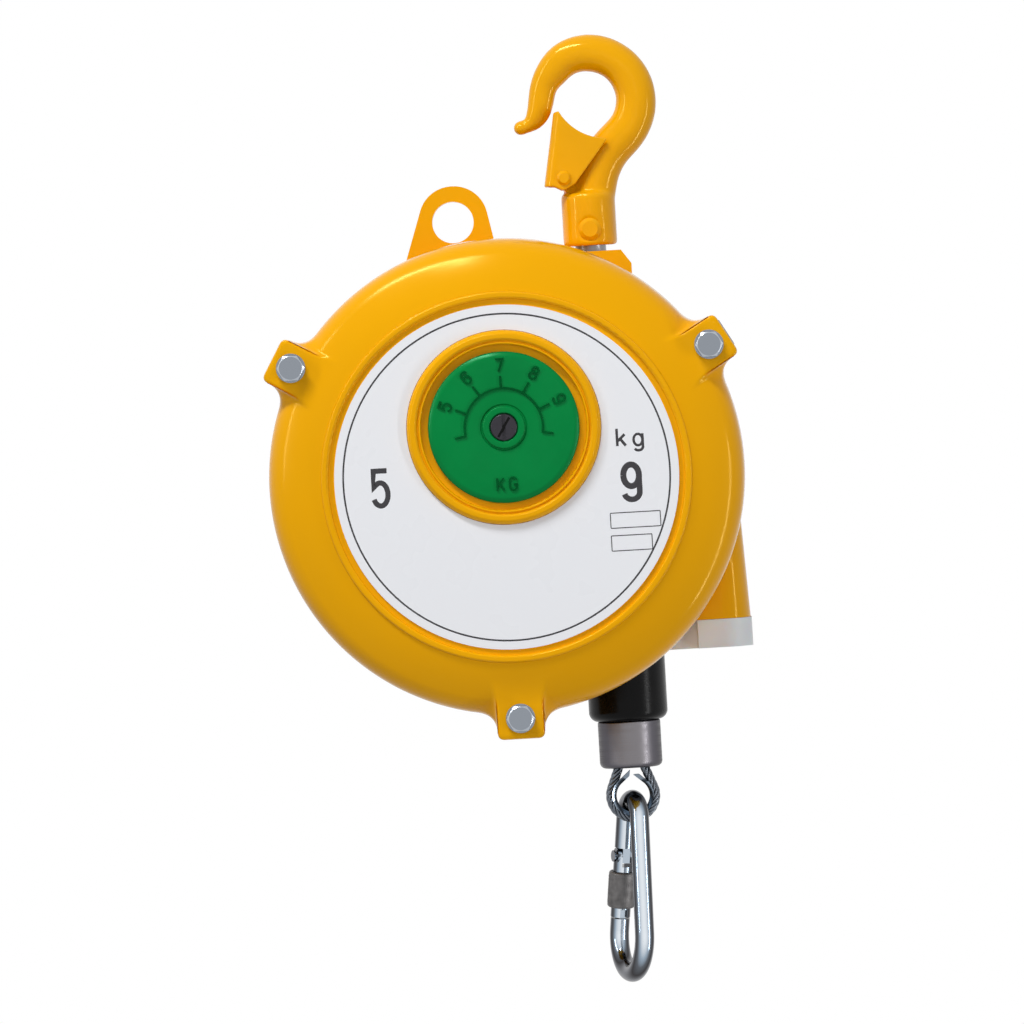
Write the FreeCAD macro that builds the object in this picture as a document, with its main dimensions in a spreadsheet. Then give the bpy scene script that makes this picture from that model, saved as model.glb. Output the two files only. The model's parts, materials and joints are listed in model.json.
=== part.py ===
"""Tool balancer (spring balancer), 5 to 9 kg, built as separate sub-parts.

Lengths in mm.  Every body is drawn about the main shaft axis: X to the right,
front towards -Y, Z up, Y = 0 at the joint between cover and rear case.  Each
placement then shifts the body so that the hook's seat is the origin.
"""
import math
import os

import FreeCAD
import Part
import Sketcher

V = FreeCAD.Vector
doc = FreeCAD.newDocument("tool_balancer")
sheet = doc.addObject("Spreadsheet::Sheet", "Sizes")

SIZES = (
    ("cover_radius", 98.2), ("cover_depth", 40.2), ("case_radius", 95.2), ("case_depth", 60),
    ("wall", 4), ("side_draft", 0.8), ("shoulder_radius", 76), ("rim_radius", 74.4),
    ("rim_height", 1.2), ("label_radius", 70.5), ("label_sheet", 0.8), ("run_gap", 0.3),
    ("bolt_circle", 98.9), ("lug_width", 19.5), ("lug_reach", 107.5), ("lug_root", 8),
    ("lug_drop", 4.6), ("bolt_radius", 3), ("washer_radius", 6), ("washer_sheet", 1.6),
    ("hex_across", 10), ("hex_height", 4), ("nut_width", 12.5), ("nut_depth", 17),
    ("nut_height", 5), ("dial_height", 20.4), ("ring_radius", 39.7), ("ring_lip", 35.8),
    ("ring_bore", 33.9), ("ring_proud", 2.6), ("dial_radius", 31), ("dial_sheet", 2.4),
    ("dial_boss", 8.6), ("scale_radius", 16), ("pinion_teeth", 10), ("gear_teeth", 30),
    ("gear_width", 4), ("shaft_radius", 8), ("journal_radius", 5), ("tip_radius", 2.5), ("ear_x", -16.5),
    ("ear_z", 106), ("ear_bore", 8.6), ("ear_wide", 22.1), ("ear_depth", 14),
    ("hook_x", 41.9), ("stem_x", 40), ("hook_y", 30), ("seat_z", 165.6), ("boss_top", 90.8),
    ("stem_radius", 6.4), ("barrel_radius", 11.2), ("barrel_low", 93.3), ("barrel_high", 115.5),
    ("bowl_radius", 12), ("latch_x", 30.5), ("latch_z", 121.8), ("rope_x", 44.5),
    ("rope_y", 27), ("rope_radius", 2.3), ("rope_pitch", 4.9), ("rope_turns", 4.75), ("drum_large", 57.5),
    ("drum_flange", 61.4), ("spring_case", 88), ("spring_case_back", 5.2), ("spring_width", 27),
    ("spring_sheet", 1.2), ("chute_right", 97.4), ("chute_low", -64), ("chute_front", 9.7),
    ("guide_low", -75.8), ("bumper_radius", 16.35), ("bumper_low", -104.5),
    ("ferrule_radius", 13), ("ferrule_low", -124), ("eye_low", -147), ("eye_radius", 9.3),
    ("rod_radius", 4), ("clip_length", 80), ("clip_top", 8), ("clip_foot", 15), ("worm_teeth", 30),
    ("worm_module", 1.5), ("worm_pitch", 7), ("gear_house", 80), ("worm_y", 70),
)
for row, (name, number) in enumerate(SIZES, 1):
    sheet.set("A%d" % row, name)
    sheet.set("B%d" % row, str(number))
    sheet.setAlias("B%d" % row, name)
doc.recompute()


class Size:
    """A length that knows both its value and the sheet expression behind it."""

    def __init__(self, text, value):
        self.text = text
        self.value = float(value)

    def _join(self, other, sign, value):
        return Size("(%s %s %s)" % (self.text, sign, other.text), value)

    def __add__(self, other):
        other = size(other)
        return self._join(other, "+", self.value + other.value)

    def __sub__(self, other):
        other = size(other)
        return self._join(other, "-", self.value - other.value)

    def __mul__(self, other):
        other = size(other)
        return self._join(other, "*", self.value * other.value)

    def __truediv__(self, other):
        other = size(other)
        return self._join(other, "/", self.value / other.value)

    def __radd__(self, other):
        return size(other) + self

    def __rsub__(self, other):
        return size(other) - self

    def __rmul__(self, other):
        return size(other) * self

    def __neg__(self):
        return Size("(0 - %s)" % self.text, -self.value)


def size(number):
    """Wrap a plain number, leave a Size as it is."""
    if isinstance(number, Size):
        return number
    return Size(("(%.6g)" if number < 0 else "%.6g") % number, number)


class Sheet:
    """Read access to the sheet by alias."""

    def __getattr__(self, alias):
        return Size("Sizes." + alias, sheet.get(alias))


S = Sheet()
SHIFT = (-S.hook_x, -S.hook_y, -S.seat_z)
nodes = []


def bind(target, prop, length):
    target.setExpression(prop, size(length).text)


def place(target, at=(0, 0, 0), turn=None):
    """Move a finished sub-part from the shaft frame to the hook's seat."""
    spot = [size(a) + s for a, s in zip(at, SHIFT)]
    target.Placement = FreeCAD.Placement(V(*[s.value for s in spot]), turn or FreeCAD.Rotation())
    for axis, s in zip("xyz", spot):
        bind(target, "Placement.Base." + axis, s)


def body(label, at=(0, 0, 0), turn=None):
    made = doc.addObject("PartDesign::Body", label)
    made.Label = label
    place(made, at, turn)
    nodes.append(made)
    return made


def single(label, shape_object, at=(0, 0, 0), turn=None):
    """Register a Part object as a sub-part."""
    shape_object.Label = label
    place(shape_object, at, turn)
    nodes.append(shape_object)
    return shape_object


def sketch_on(owner, plane, offset=0, shift=(0, 0)):
    sketch = owner.newObject("Sketcher::SketchObject", "outline")
    base = [f for f in owner.Origin.OriginFeatures if f.Role == plane + "_Plane"][0]
    sketch.AttachmentSupport = [(base, "")]
    sketch.MapMode = "FlatFace"
    for axis, length in zip("xyz", (*shift, offset)):
        bind(sketch, "AttachmentOffset.Base." + axis, length)
    return sketch


def fix(sketch, geo, point, x, y):
    """Pin one point of the sketch to sheet sizes."""
    for kind, length in (("DistanceX", size(x)), ("DistanceY", size(y))):
        k = sketch.addConstraint(Sketcher.Constraint(kind, -1, 1, geo, point, length.value))
        sketch.setExpression("Constraints[%d]" % k, length.text)


def circle(sketch, x, y, radius):
    x, y, radius = size(x), size(y), size(radius)
    round_one = Part.Circle(V(x.value, y.value, 0), V(0, 0, 1), radius.value)
    geo = sketch.addGeometry(round_one, False)
    fix(sketch, geo, 3, x, y)
    k = sketch.addConstraint(Sketcher.Constraint("Radius", geo, radius.value))
    sketch.setExpression("Constraints[%d]" % k, radius.text)


def tangent_arc(before, corner, after, radius):
    """Arc ends and centre that round one corner of a polygon."""
    a = (before - corner).normalize()
    b = (after - corner).normalize()
    half = a.getAngle(b) / 2
    reach = radius / math.tan(half)
    centre = corner + (a + b).normalize() * (radius / math.sin(half))
    return corner + a * reach, corner + b * reach, centre


def polygon(sketch, corners):
    """Closed outline of straight lines; a third number rounds that corner."""
    points = [V(size(c[0]).value, size(c[1]).value, 0) for c in corners]
    count = len(points)
    starts = list(points)
    ends = list(points)
    arcs = {}
    for i, corner in enumerate(corners):
        if len(corner) > 2:
            radius = size(corner[2]).value
            into, out, mid = tangent_arc(points[i - 1], points[i], points[(i + 1) % count], radius)
            ends[i], starts[i], arcs[i] = into, out, mid
    lines = []
    for i in range(count):
        line = Part.LineSegment(starts[i], ends[(i + 1) % count])
        lines.append(sketch.addGeometry(line, False))
    for i, corner in enumerate(corners):
        last, this = lines[i - 1], lines[i]
        if i not in arcs:
            sketch.addConstraint(Sketcher.Constraint("Coincident", last, 2, this, 1))
            fix(sketch, this, 1, corner[0], corner[1])
            continue
        turn = (ends[i] - arcs[i]).cross(starts[i] - arcs[i]).z
        into = math.atan2(ends[i].y - arcs[i].y, ends[i].x - arcs[i].x)
        out = math.atan2(starts[i].y - arcs[i].y, starts[i].x - arcs[i].x)
        span = (into, out) if turn > 0 else (out, into)
        first, second = (1, 2) if turn > 0 else (2, 1)
        base = Part.Circle(arcs[i], V(0, 0, 1), size(corner[2]).value)
        arc = sketch.addGeometry(Part.ArcOfCircle(base, *span), False)
        sketch.addConstraint(Sketcher.Constraint("Tangent", last, 2, arc, first))
        sketch.addConstraint(Sketcher.Constraint("Tangent", arc, second, this, 1))
        radius = size(corner[2])
        k = sketch.addConstraint(Sketcher.Constraint("Radius", arc, radius.value))
        sketch.setExpression("Constraints[%d]" % k, radius.text)
        mark = sketch.addGeometry(Part.Point(points[i]), True)
        sketch.addConstraint(Sketcher.Constraint("PointOnObject", mark, 1, last))
        sketch.addConstraint(Sketcher.Constraint("PointOnObject", mark, 1, this))
        fix(sketch, mark, 1, corner[0], corner[1])


def draw(sketch, shapes):
    """Circles are (x, y, radius) tuples, outlines are lists of corners."""
    for shape in shapes:
        if isinstance(shape, tuple):
            circle(sketch, *shape)
        else:
            polygon(sketch, shape)


def turned(owner, corners, plane="YZ", axis="H_Axis", cut=False, offset=0, shift=(0, 0)):
    """Revolve an outline about the sketch's own axis."""
    sketch = sketch_on(owner, plane, offset, shift)
    polygon(sketch, corners)
    kind = "PartDesign::Groove" if cut else "PartDesign::Revolution"
    made = owner.newObject(kind, "turned")
    made.Profile = sketch
    made.ReferenceAxis = (sketch, [axis])
    made.Angle = 360
    made.Refine = False
    return made


def prism(owner, plane, shapes, low, high, cut=False, taper=0):
    """Pad or pocket that fills the space from low to high along the plane's axis."""
    low, high = size(low), size(high)
    if plane == "XZ":
        offset = -low if cut else -high
    else:
        offset = high if cut else low
    sketch = sketch_on(owner, plane, offset)
    draw(sketch, shapes)
    made = owner.newObject("PartDesign::Pocket" if cut else "PartDesign::Pad", "prism")
    made.Profile = sketch
    bind(made, "Length", high - low)
    made.Refine = False
    if taper:
        made.TaperAngle = taper
    return made


def around(owner, feature, count, axis="Y"):
    """Repeat a feature about one of the body's own axes."""
    made = owner.newObject("PartDesign::PolarPattern", "around")
    made.Originals = feature if isinstance(feature, list) else [feature]
    line = [f for f in owner.Origin.OriginFeatures if f.Role == axis + "_Axis"][0]
    made.Axis = (line, [""])
    made.Angle = 360
    made.Occurrences = count
    made.Refine = False
    owner.Tip = made
    return made


def edges_near(shape, test):
    return ["Edge%d" % i for i, e in enumerate(shape.Edges, 1) if test(e)]


def soften(owner, test, radius, kind="Fillet"):
    """Fillet or chamfer the edges of the last feature that pass the test."""
    doc.recompute()
    last = owner.Tip
    names = edges_near(last.Shape, test)
    made = owner.newObject("PartDesign::" + kind, "soft")
    made.Base = (last, names)
    bind(made, "Radius" if kind == "Fillet" else "Size", radius)
    return made


def along_path(outline, edges):
    """Solid that a flat outline leaves behind as it follows straight and round edges."""
    face = Part.Face(outline)
    made = []
    for edge in edges:
        if isinstance(edge.Curve, Part.Line):
            step = edge.valueAt(edge.LastParameter) - edge.valueAt(edge.FirstParameter)
            made.append(face.extrude(step))
            face.translate(step)
        else:
            centre, axis = edge.Curve.Center, edge.Curve.Axis
            turn = math.degrees(edge.LastParameter - edge.FirstParameter)
            made.append(face.revolve(centre, axis, turn))
            face.rotate(centre, axis, turn)
    return made[0].fuse(made[1:])


def tube(points, radius, start, along):
    """Solid round bar along a wire."""
    ring = Part.Wire([Part.makeCircle(radius, start, along)])
    return Part.Wire(points).makePipeShell([ring], True, False)


def solid(name, shape):
    """Document object for a finished shape, whatever placement the shape carries."""
    made = doc.addObject("Part::Feature", name)
    made.Shape = shape if shape.Placement.isIdentity() else Part.makeCompound([shape])
    return made


def feature(label, shape, at=(0, 0, 0), turn=None):
    made = solid(label, shape)
    return single(label, made, at, turn)


# --- sizes derived once -------------------------------------------------------
FRONT = -S.cover_depth
RECESS = FRONT + 0.6
LABEL_FACE = RECESS - S.label_sheet
RING_FACE = LABEL_FACE - S.ring_proud
DIAL_FACE = RING_FACE + 1.4
DIAL_BACK = DIAL_FACE + S.dial_sheet
DIAL_FLOOR = DIAL_BACK + 0.4
COVER_INNER = DIAL_FLOOR + S.wall
GEAR_FRONT = COVER_INNER + 0.5
GEAR_BACK = GEAR_FRONT + S.gear_width
LUG_FACE = FRONT + S.lug_drop
REAR_LUG = size(18)
NUT_FRONT = size(6)
CASE_INNER = S.case_depth - S.wall
CAVITY = S.case_radius - S.wall - 0.2
WHEEL_PITCH = S.worm_module * S.worm_teeth / 2
WORM_Z = -(WHEEL_PITCH + S.worm_pitch)


def lug_outline(reach, wall_radius):
    """Bolt lug seen from the front, its foot sunk in a wall of this radius."""
    half = S.lug_width / 2
    root = S.bolt_circle - 1.9
    foot, heel = wall_radius - 8, wall_radius
    return [(-24, -foot), (-24, -heel), (-half, -root, S.lug_root), (-half, -reach, 3),
            (half, -reach, 3), (half, -root, S.lug_root), (24, -heel), (24, -foot)]


def lug_column():
    half = S.lug_width / 2
    return [(-half, -80), (-half, -S.lug_reach, 3), (half, -S.lug_reach, 3), (half, -80)]


def front_cover():
    b = body("front_cover")
    side = S.cover_radius - S.side_draft
    turned(b, [(0, 0), (0, S.cover_radius), (FRONT + 9.2, side, 11), (FRONT + 3.2, 86, 40),
               (FRONT, S.shoulder_radius), (FRONT - S.rim_height, S.rim_radius + 1.2, 0.9),
               (FRONT - S.rim_height, S.rim_radius - 1.2, 0.9), (RECESS, S.rim_radius - 1.6),
               (RECESS, 0)])
    column = prism(b, "XZ", [lug_column()], LUG_FACE, 0)
    flare = prism(b, "XZ", [lug_outline(S.lug_reach, S.cover_radius - 4.2)], FRONT + 16, 0)
    around(b, [column, flare], 3)
    prism(b, "XZ", [(0, S.dial_height, S.ring_radius)], RING_FACE, RECESS, taper=0)
    prism(b, "XZ", [(0, S.dial_height, S.ring_lip)], RING_FACE, RING_FACE + 0.8, cut=True)
    prism(b, "XZ", [(0, S.dial_height, S.ring_bore)], RING_FACE, DIAL_FLOOR, cut=True)
    floor = COVER_INNER
    turned(b, [(2, 0), (2, CAVITY + 3), (floor + 4.8, CAVITY + 1.8, 8),
               (floor, 80, 12), (floor, 0)], cut=True)
    prism(b, "XZ", [(0, S.dial_height, 4.02)], DIAL_FLOOR - 1, floor + 1, cut=True)
    prism(b, "XZ", [(0, 0, S.tip_radius + 3.5)], DIAL_FLOOR - 1, floor + 1, cut=True)
    hole = prism(b, "XZ", [(0, -S.bolt_circle, S.bolt_radius + 0.3)], LUG_FACE - 1, 1, cut=True)
    around(b, hole, 3)
    turned(b, [(-4, CAVITY + 0.2), (2.4, CAVITY - 2.6), (2.4, CAVITY - 0.2), (0, CAVITY - 0.2),
               (0, CAVITY + 3.1), (-4, CAVITY + 3.1)])
    return b


def rear_case():
    b = body("rear_case")
    depth = S.case_depth
    turned(b, [(0, 0), (0, S.cover_radius), (7, S.cover_radius - 0.3, 1), (9.5, S.case_radius, 1),
               (depth, S.case_radius - 1.6, 9), (depth, 0)])
    lug = prism(b, "XZ", [lug_outline(S.lug_reach, S.case_radius - 1.2)], 0, REAR_LUG)
    around(b, lug, 3)
    # rope chute on the right, its mouth facing down
    left = S.rope_x - 18.5
    low = S.chute_low
    plan = [(left, S.chute_front - S.wall), (left, depth), (S.chute_right, depth),
            (S.chute_right, S.chute_front - S.wall, 12)]
    prism(b, "XY", [plan], low, -8, taper=-2.6)
    notch = [(left - S.wall, low), (left - S.wall, -130), (120, -130), (120, low)]
    prism(b, "XZ", [notch], S.chute_front, depth + 4, cut=True)
    # hook boss and safety ear
    top = S.boss_top
    prism(b, "XZ", [[(S.stem_x - 16, top - 12.8), (S.stem_x - 16, top), (S.stem_x + 12.3, top),
                     (S.stem_x + 16.4, top - 5.8), (S.stem_x + 16.4, top - 12.8)]],
          S.hook_y - 14, S.hook_y + 14)
    ear_top = S.ear_z + 15
    prism(b, "XZ", [[(S.ear_x - 22, 86), (S.ear_x - 10, ear_top, 14),
                     (S.ear_x - 10 + S.ear_wide, ear_top, 14), (S.ear_x + 17.64, 92.5)]],
          18, S.ear_depth + 18)
    prism(b, "XZ", [(S.ear_x, S.ear_z, S.ear_bore)], 17, S.ear_depth + 19, cut=True)
    # gear housing on the back, with the worm's tube to the left
    house = S.gear_house
    prism(b, "XZ", [[(-42, -50, 10), (42, -50, 10), (42, 38, 10), (-42, 38, 10)]], CASE_INNER,
          house)
    prism(b, "YZ", [[(CASE_INNER, WORM_Z - 13), (house, WORM_Z - 13, 8),
                     (house, WORM_Z + 13, 8), (CASE_INNER, WORM_Z + 13)]], -62, -30)
    rib = prism(b, "XZ", [[(-1.6, 40), (1.6, 40), (1.6, 89), (-1.6, 89)]], depth - 1, depth + 4)
    around(b, rib, 12)
    # drum chamber, full circle in front, stepped round the notch behind
    prism(b, "XZ", [(0, 0, CAVITY)], -1, S.chute_front - S.wall, cut=True)
    stepped(b, left, low)
    prism(b, "XZ", [[(left + S.wall, low - 5), (left + S.wall, -26), (S.chute_right - 7, -26, 3),
                     (S.chute_right - S.wall, low - 5)]], S.chute_front + 2, CASE_INNER, cut=True)
    # bores
    prism(b, "XY", [(S.stem_x, S.hook_y, 11)], 60, top - 12.8, cut=True)
    prism(b, "XY", [(S.stem_x, S.hook_y, S.stem_radius + 0.05)], 60, top + 1, cut=True)
    prism(b, "XZ", [(0, 0, S.shaft_radius + 4)], CASE_INNER - 1, depth + 1, cut=True)
    prism(b, "XZ", [(0, 0, WHEEL_PITCH + S.worm_module + 1.5)], depth, house + 1, cut=True)
    prism(b, "YZ", [(S.worm_y, WORM_Z, S.worm_pitch + S.worm_module + 0.5)], -63, 34, cut=True)
    tapped = [(x, z, 1.7) for x in (-35, 35) for z in (31, -43.2)]
    prism(b, "XZ", tapped, house - 9, house + 1, cut=True)
    hole = prism(b, "XZ", [(0, -S.bolt_circle, S.bolt_radius + 0.3)], -1, REAR_LUG - 2, cut=True)
    half = S.nut_width / 2 + 0.05
    out = S.lug_reach + 2
    inner = S.lug_reach + 1 - S.nut_depth
    slot = prism(b, "XZ", [[(-half, -out), (-half, -inner), (half, -inner), (half, -out)]],
                 NUT_FRONT, NUT_FRONT + S.nut_height + 0.1, cut=True)
    around(b, [hole, slot], 3)
    return b


def stepped(b, left, low):
    """Chamber cut whose outline follows the circle and steps round the rope guide."""
    sketch = sketch_on(b, "XZ", -(S.chute_front - S.wall - 0.1))
    radius, x, z = CAVITY, left - S.wall * 2, low + S.wall
    foot = -math.sqrt(radius.value ** 2 - x.value ** 2)
    side = math.sqrt(radius.value ** 2 - z.value ** 2)
    start = math.atan2(z.value, side)
    arc = Part.ArcOfCircle(Part.Circle(V(0, 0, 0), V(0, 0, 1), radius.value), start,
                           math.atan2(foot, x.value) + 2 * math.pi)
    sketch.addGeometry(arc, False)
    sketch.addGeometry(Part.LineSegment(V(x.value, foot, 0), V(x.value, z.value, 0)), False)
    sketch.addGeometry(Part.LineSegment(V(x.value, z.value, 0), V(side, z.value, 0)), False)
    sketch.addConstraint(Sketcher.Constraint("Coincident", 0, 3, -1, 1))
    k = sketch.addConstraint(Sketcher.Constraint("Radius", 0, radius.value))
    sketch.setExpression("Constraints[%d]" % k, radius.text)
    sketch.addConstraint(Sketcher.Constraint("Coincident", 0, 2, 1, 1))
    sketch.addConstraint(Sketcher.Constraint("Coincident", 1, 2, 2, 1))
    sketch.addConstraint(Sketcher.Constraint("Coincident", 2, 2, 0, 1))
    sketch.addConstraint(Sketcher.Constraint("Vertical", 1))
    sketch.addConstraint(Sketcher.Constraint("Horizontal", 2))
    fix(sketch, 1, 2, x, z)
    made = b.newObject("PartDesign::Pocket", "chamber")
    made.Profile = sketch
    bind(made, "Length", CASE_INNER - S.chute_front + S.wall + 0.1)
    made.Refine = False
    return made


def hexagon(x, z, across):
    """Corners of a hexagon from its width across flats."""
    reach = size(across) / math.sqrt(3)
    turns = [math.radians(60 * i) for i in range(6)]
    return [(x + reach * math.cos(a), z + reach * math.sin(a)) for a in turns]


def label_plate():
    b = body("label_plate")
    prism(b, "XZ", [(0, 0, S.label_radius), (0, S.dial_height, S.ring_radius + 0.2)], LABEL_FACE,
          RECESS)


def cover_fasteners():
    z = -S.bolt_circle
    seat = LUG_FACE - S.washer_sheet
    b = body("cover_bolts")
    head = prism(b, "XZ", [hexagon(0, z, S.hex_across)], seat - S.hex_height, seat)
    shank = prism(b, "XZ", [(0, z, S.bolt_radius)], seat, NUT_FRONT + S.nut_height + 2)
    half = S.hex_across / 2
    top = seat - S.hex_height
    bevel = turned(b, [(top - 1, half - 0.6), (top, half - 0.3), (top + 1.1, half + 1.2),
                       (top - 1, half + 1.2)], cut=True, shift=(0, z))
    around(b, [head, shank, bevel], 3)
    b = body("cover_washers")
    ring = prism(b, "XZ", [(0, z, S.washer_radius), (0, z, S.bolt_radius + 0.2)], seat, LUG_FACE)
    around(b, ring, 3)
    b = body("cover_nuts")
    w = S.nut_width / 2
    out = S.lug_reach + 1
    block = [(-w, -out, 0.8), (-w, -out + S.nut_depth), (w, -out + S.nut_depth), (w, -out, 0.8)]
    nut = prism(b, "XZ", [block, (0, z, S.bolt_radius + 0.05)], NUT_FRONT + 0.05,
                NUT_FRONT + 0.05 + S.nut_height)
    around(b, nut, 3)


def ring_part(label, inner, outer, low, high, at=(0, 0, 0)):
    b = body(label, at)
    prism(b, "XZ", [(0, 0, outer), (0, 0, inner)], low, high)
    return b


def bushes():
    ring_part("front_bush", S.tip_radius + 0.05, S.tip_radius + 3.5, DIAL_FLOOR + 0.1, COVER_INNER)
    ring_part("rear_bush", S.shaft_radius + 0.05, S.shaft_radius + 4, CASE_INNER - 0.2,
              S.case_depth)
    ring_part("end_bush", S.journal_radius + 0.05, S.journal_radius + 3, S.gear_house - 1,
              S.gear_house + 3.5)


def wire_guide():
    """Nylon mouth piece under the chute: flange outside, spigot inside."""
    b = body("wire_guide")
    left = S.rope_x - 14.5
    right = S.chute_right + 0.4
    front = S.chute_front + 0.3
    back = S.case_depth - 1
    low = S.guide_low
    flange = [(left, front, 3), (left, back, 3), (right, back, 8), (right, front - 3.9, 12.4),
              (S.rope_x + 30.5, front - 3.9), (S.rope_x + 30.5, front)]
    prism(b, "XY", [flange], low, S.chute_low - 0.1)
    spigot = [(left + 2, front + 2.2), (left + 2, back - 3.4), (right - 5.5, back - 3.4),
              (right - 5.5, front + 2.2)]
    prism(b, "XY", [spigot], S.chute_low - 0.2, S.chute_low + 3.6)
    mouth = [(S.rope_x - 6, S.rope_y - 6, 5), (S.rope_x - 6, back - 5.5, 5),
             (right - 9, back - 5.5, 5), (right - 9, S.rope_y - 6, 5)]
    prism(b, "XY", [mouth], low - 1, S.chute_low + 5, cut=True)


def gear_cover():
    b = body("gear_cover")
    y = S.gear_house
    prism(b, "XZ", [[(-42, -50, 10), (42, -50, 10), (42, 38, 10), (-42, 38, 10)]], y, y + 3.5)
    prism(b, "XZ", [(0, 0, 13)], y + 3, y + 4.8)
    prism(b, "XZ", [(0, 0, S.journal_radius + 3)], y - 1, y + 3.5, cut=True)
    spots = [(x, z, 2.1) for x in (-35, 35) for z in (31, -43.2)]
    prism(b, "XZ", spots, y - 1, y + 6, cut=True)
    b = body("gear_cover_screws")
    for x in (-35, 35):
        for z in (31, -43.2):
            prism(b, "XZ", [(x, z, 3.6)], y + 3.5, y + 5.6)
            prism(b, "XZ", [(x, z, 1.65)], y - 7, y + 3.6)
    slots = [[(x - 0.5, z - 5), (x - 0.5, z + 5), (x + 0.5, z + 5), (x + 0.5, z - 5)]
             for x in (-35, 35) for z in (31, -43.2)]
    prism(b, "XZ", slots, y + 4.6, y + 6, cut=True)


def tooth_gap(b, pitch, module, low, high, play=0.4, tilt=0):
    """Cut one straight-flanked tooth space at the top of a blank."""
    lean = math.tan(math.radians(20))
    mid = module * math.pi / 4 + play / 2
    deep, tall = module * 1.2, module * 1.3
    gap = [(-(mid - deep * lean), pitch - deep), (mid - deep * lean, pitch - deep),
           (mid + tall * lean, pitch + tall), (-(mid + tall * lean), pitch + tall)]
    made = prism(b, "XZ", [gap], low - 2, high + 2, cut=True)
    if tilt:
        sketch = made.Profile[0]
        base = sketch.AttachmentOffset.Base
        sketch.AttachmentOffset = FreeCAD.Placement(base, FreeCAD.Rotation(V(0, 1, 0), tilt))
    return made


def dial_train():
    """Dial, its wheel, and the pinion on the main shaft that drives it."""
    module = 2 * S.dial_height / (S.pinion_teeth + S.gear_teeth)
    axis = (0, 0, S.dial_height)
    b = body("dial", axis)
    boss = DIAL_FACE - 1.3
    turned(b, [(DIAL_BACK, 4.05), (DIAL_BACK, S.dial_radius), (DIAL_FACE, S.dial_radius, 0.8),
               (DIAL_FACE, S.dial_boss + 0.6), (boss, S.dial_boss, 0.5), (boss, 5.8),
               (boss + 1.6, 5.8), (boss + 1.6, 4.05)])
    arc_band(b, S.scale_radius, 0.8, -10, 190, DIAL_FACE - 0.5)
    ticks = []
    for turn in (157.2, 124.2, 91, 57.8, 24):
        c, s = math.cos(math.radians(turn)), math.sin(math.radians(turn))
        near, far = S.scale_radius, S.scale_radius + 5
        ticks.append([(near * c - 0.4 * s, near * s + 0.4 * c), (far * c - 0.4 * s, far * s + 0.4 * c),
                      (far * c + 0.4 * s, far * s - 0.4 * c), (near * c + 0.4 * s, near * s - 0.4 * c)])
    prism(b, "XZ", ticks, DIAL_FACE - 0.5, DIAL_FACE + 0.3)
    b = body("dial_screw", axis)
    turned(b, [(boss + 0.2, 0), (boss + 0.2, 5.4, 0.5), (boss + 1.6, 5.4), (boss + 1.6, 2),
               (GEAR_BACK - 1, 2), (GEAR_BACK - 1, 0)])
    prism(b, "XZ", [[(-0.7, -7), (-0.7, 7), (0.7, 7), (0.7, -7)]], boss - 1, boss + 1, cut=True)
    b = body("dial_gear", axis)
    pitch = module * S.gear_teeth / 2
    turned(b, [(boss + 1.6, 2.05), (boss + 1.6, 3.95), (GEAR_FRONT - 0.3, 3.95), (GEAR_FRONT, 7),
               (GEAR_FRONT, pitch + module * 0.85), (GEAR_BACK, pitch + module * 0.85),
               (GEAR_BACK, 2.05)])
    around(b, tooth_gap(b, pitch, module, GEAR_FRONT, GEAR_BACK), 30)
    b = body("dial_pinion", turn=FreeCAD.Rotation(V(0, 1, 0), 18))
    pitch = module * S.pinion_teeth / 2
    turned(b, [(GEAR_FRONT, S.tip_radius), (GEAR_FRONT, pitch + module * 0.85),
               (GEAR_BACK, pitch + module * 0.85), (GEAR_BACK, S.tip_radius)])
    around(b, tooth_gap(b, pitch, module, GEAR_FRONT, GEAR_BACK), 10)


def arc_band(b, radius, width, start, end, low):
    """Raised band that follows part of a circle."""
    sketch = sketch_on(b, "XZ", -(low + 0.8))
    a0, a1 = math.radians(start), math.radians(end)
    for r in (radius - width / 2, radius + width / 2):
        base = Part.Circle(V(0, 0, 0), V(0, 0, 1), r.value)
        geo = sketch.addGeometry(Part.ArcOfCircle(base, a0, a1), False)
        sketch.addConstraint(Sketcher.Constraint("Coincident", geo, 3, -1, 1))
        k = sketch.addConstraint(Sketcher.Constraint("Radius", geo, r.value))
        sketch.setExpression("Constraints[%d]" % k, r.text)
    for end_point, turn in ((1, a0), (2, a1)):
        points = [V(math.cos(turn), math.sin(turn), 0) * r
                  for r in (radius.value - width / 2, radius.value + width / 2)]
        line = sketch.addGeometry(Part.LineSegment(*points), False)
        sketch.addConstraint(Sketcher.Constraint("Coincident", line, 1, 0, end_point))
        sketch.addConstraint(Sketcher.Constraint("Coincident", line, 2, 1, end_point))
        sketch.addConstraint(Sketcher.Constraint("PointOnObject", -1, 1, line))
        lean = math.sin(turn)
        sketch.addConstraint(Sketcher.Constraint("DistanceY", -1, 1, line, 1,
                                                 (radius.value - width / 2) * lean))
        k = sketch.ConstraintCount - 1
        sketch.setExpression("Constraints[%d]" % k, ((radius - width / 2) * lean).text)
    made = b.newObject("PartDesign::Pad", "band")
    made.Profile = sketch
    made.Length = 0.8
    made.Refine = False


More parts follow.
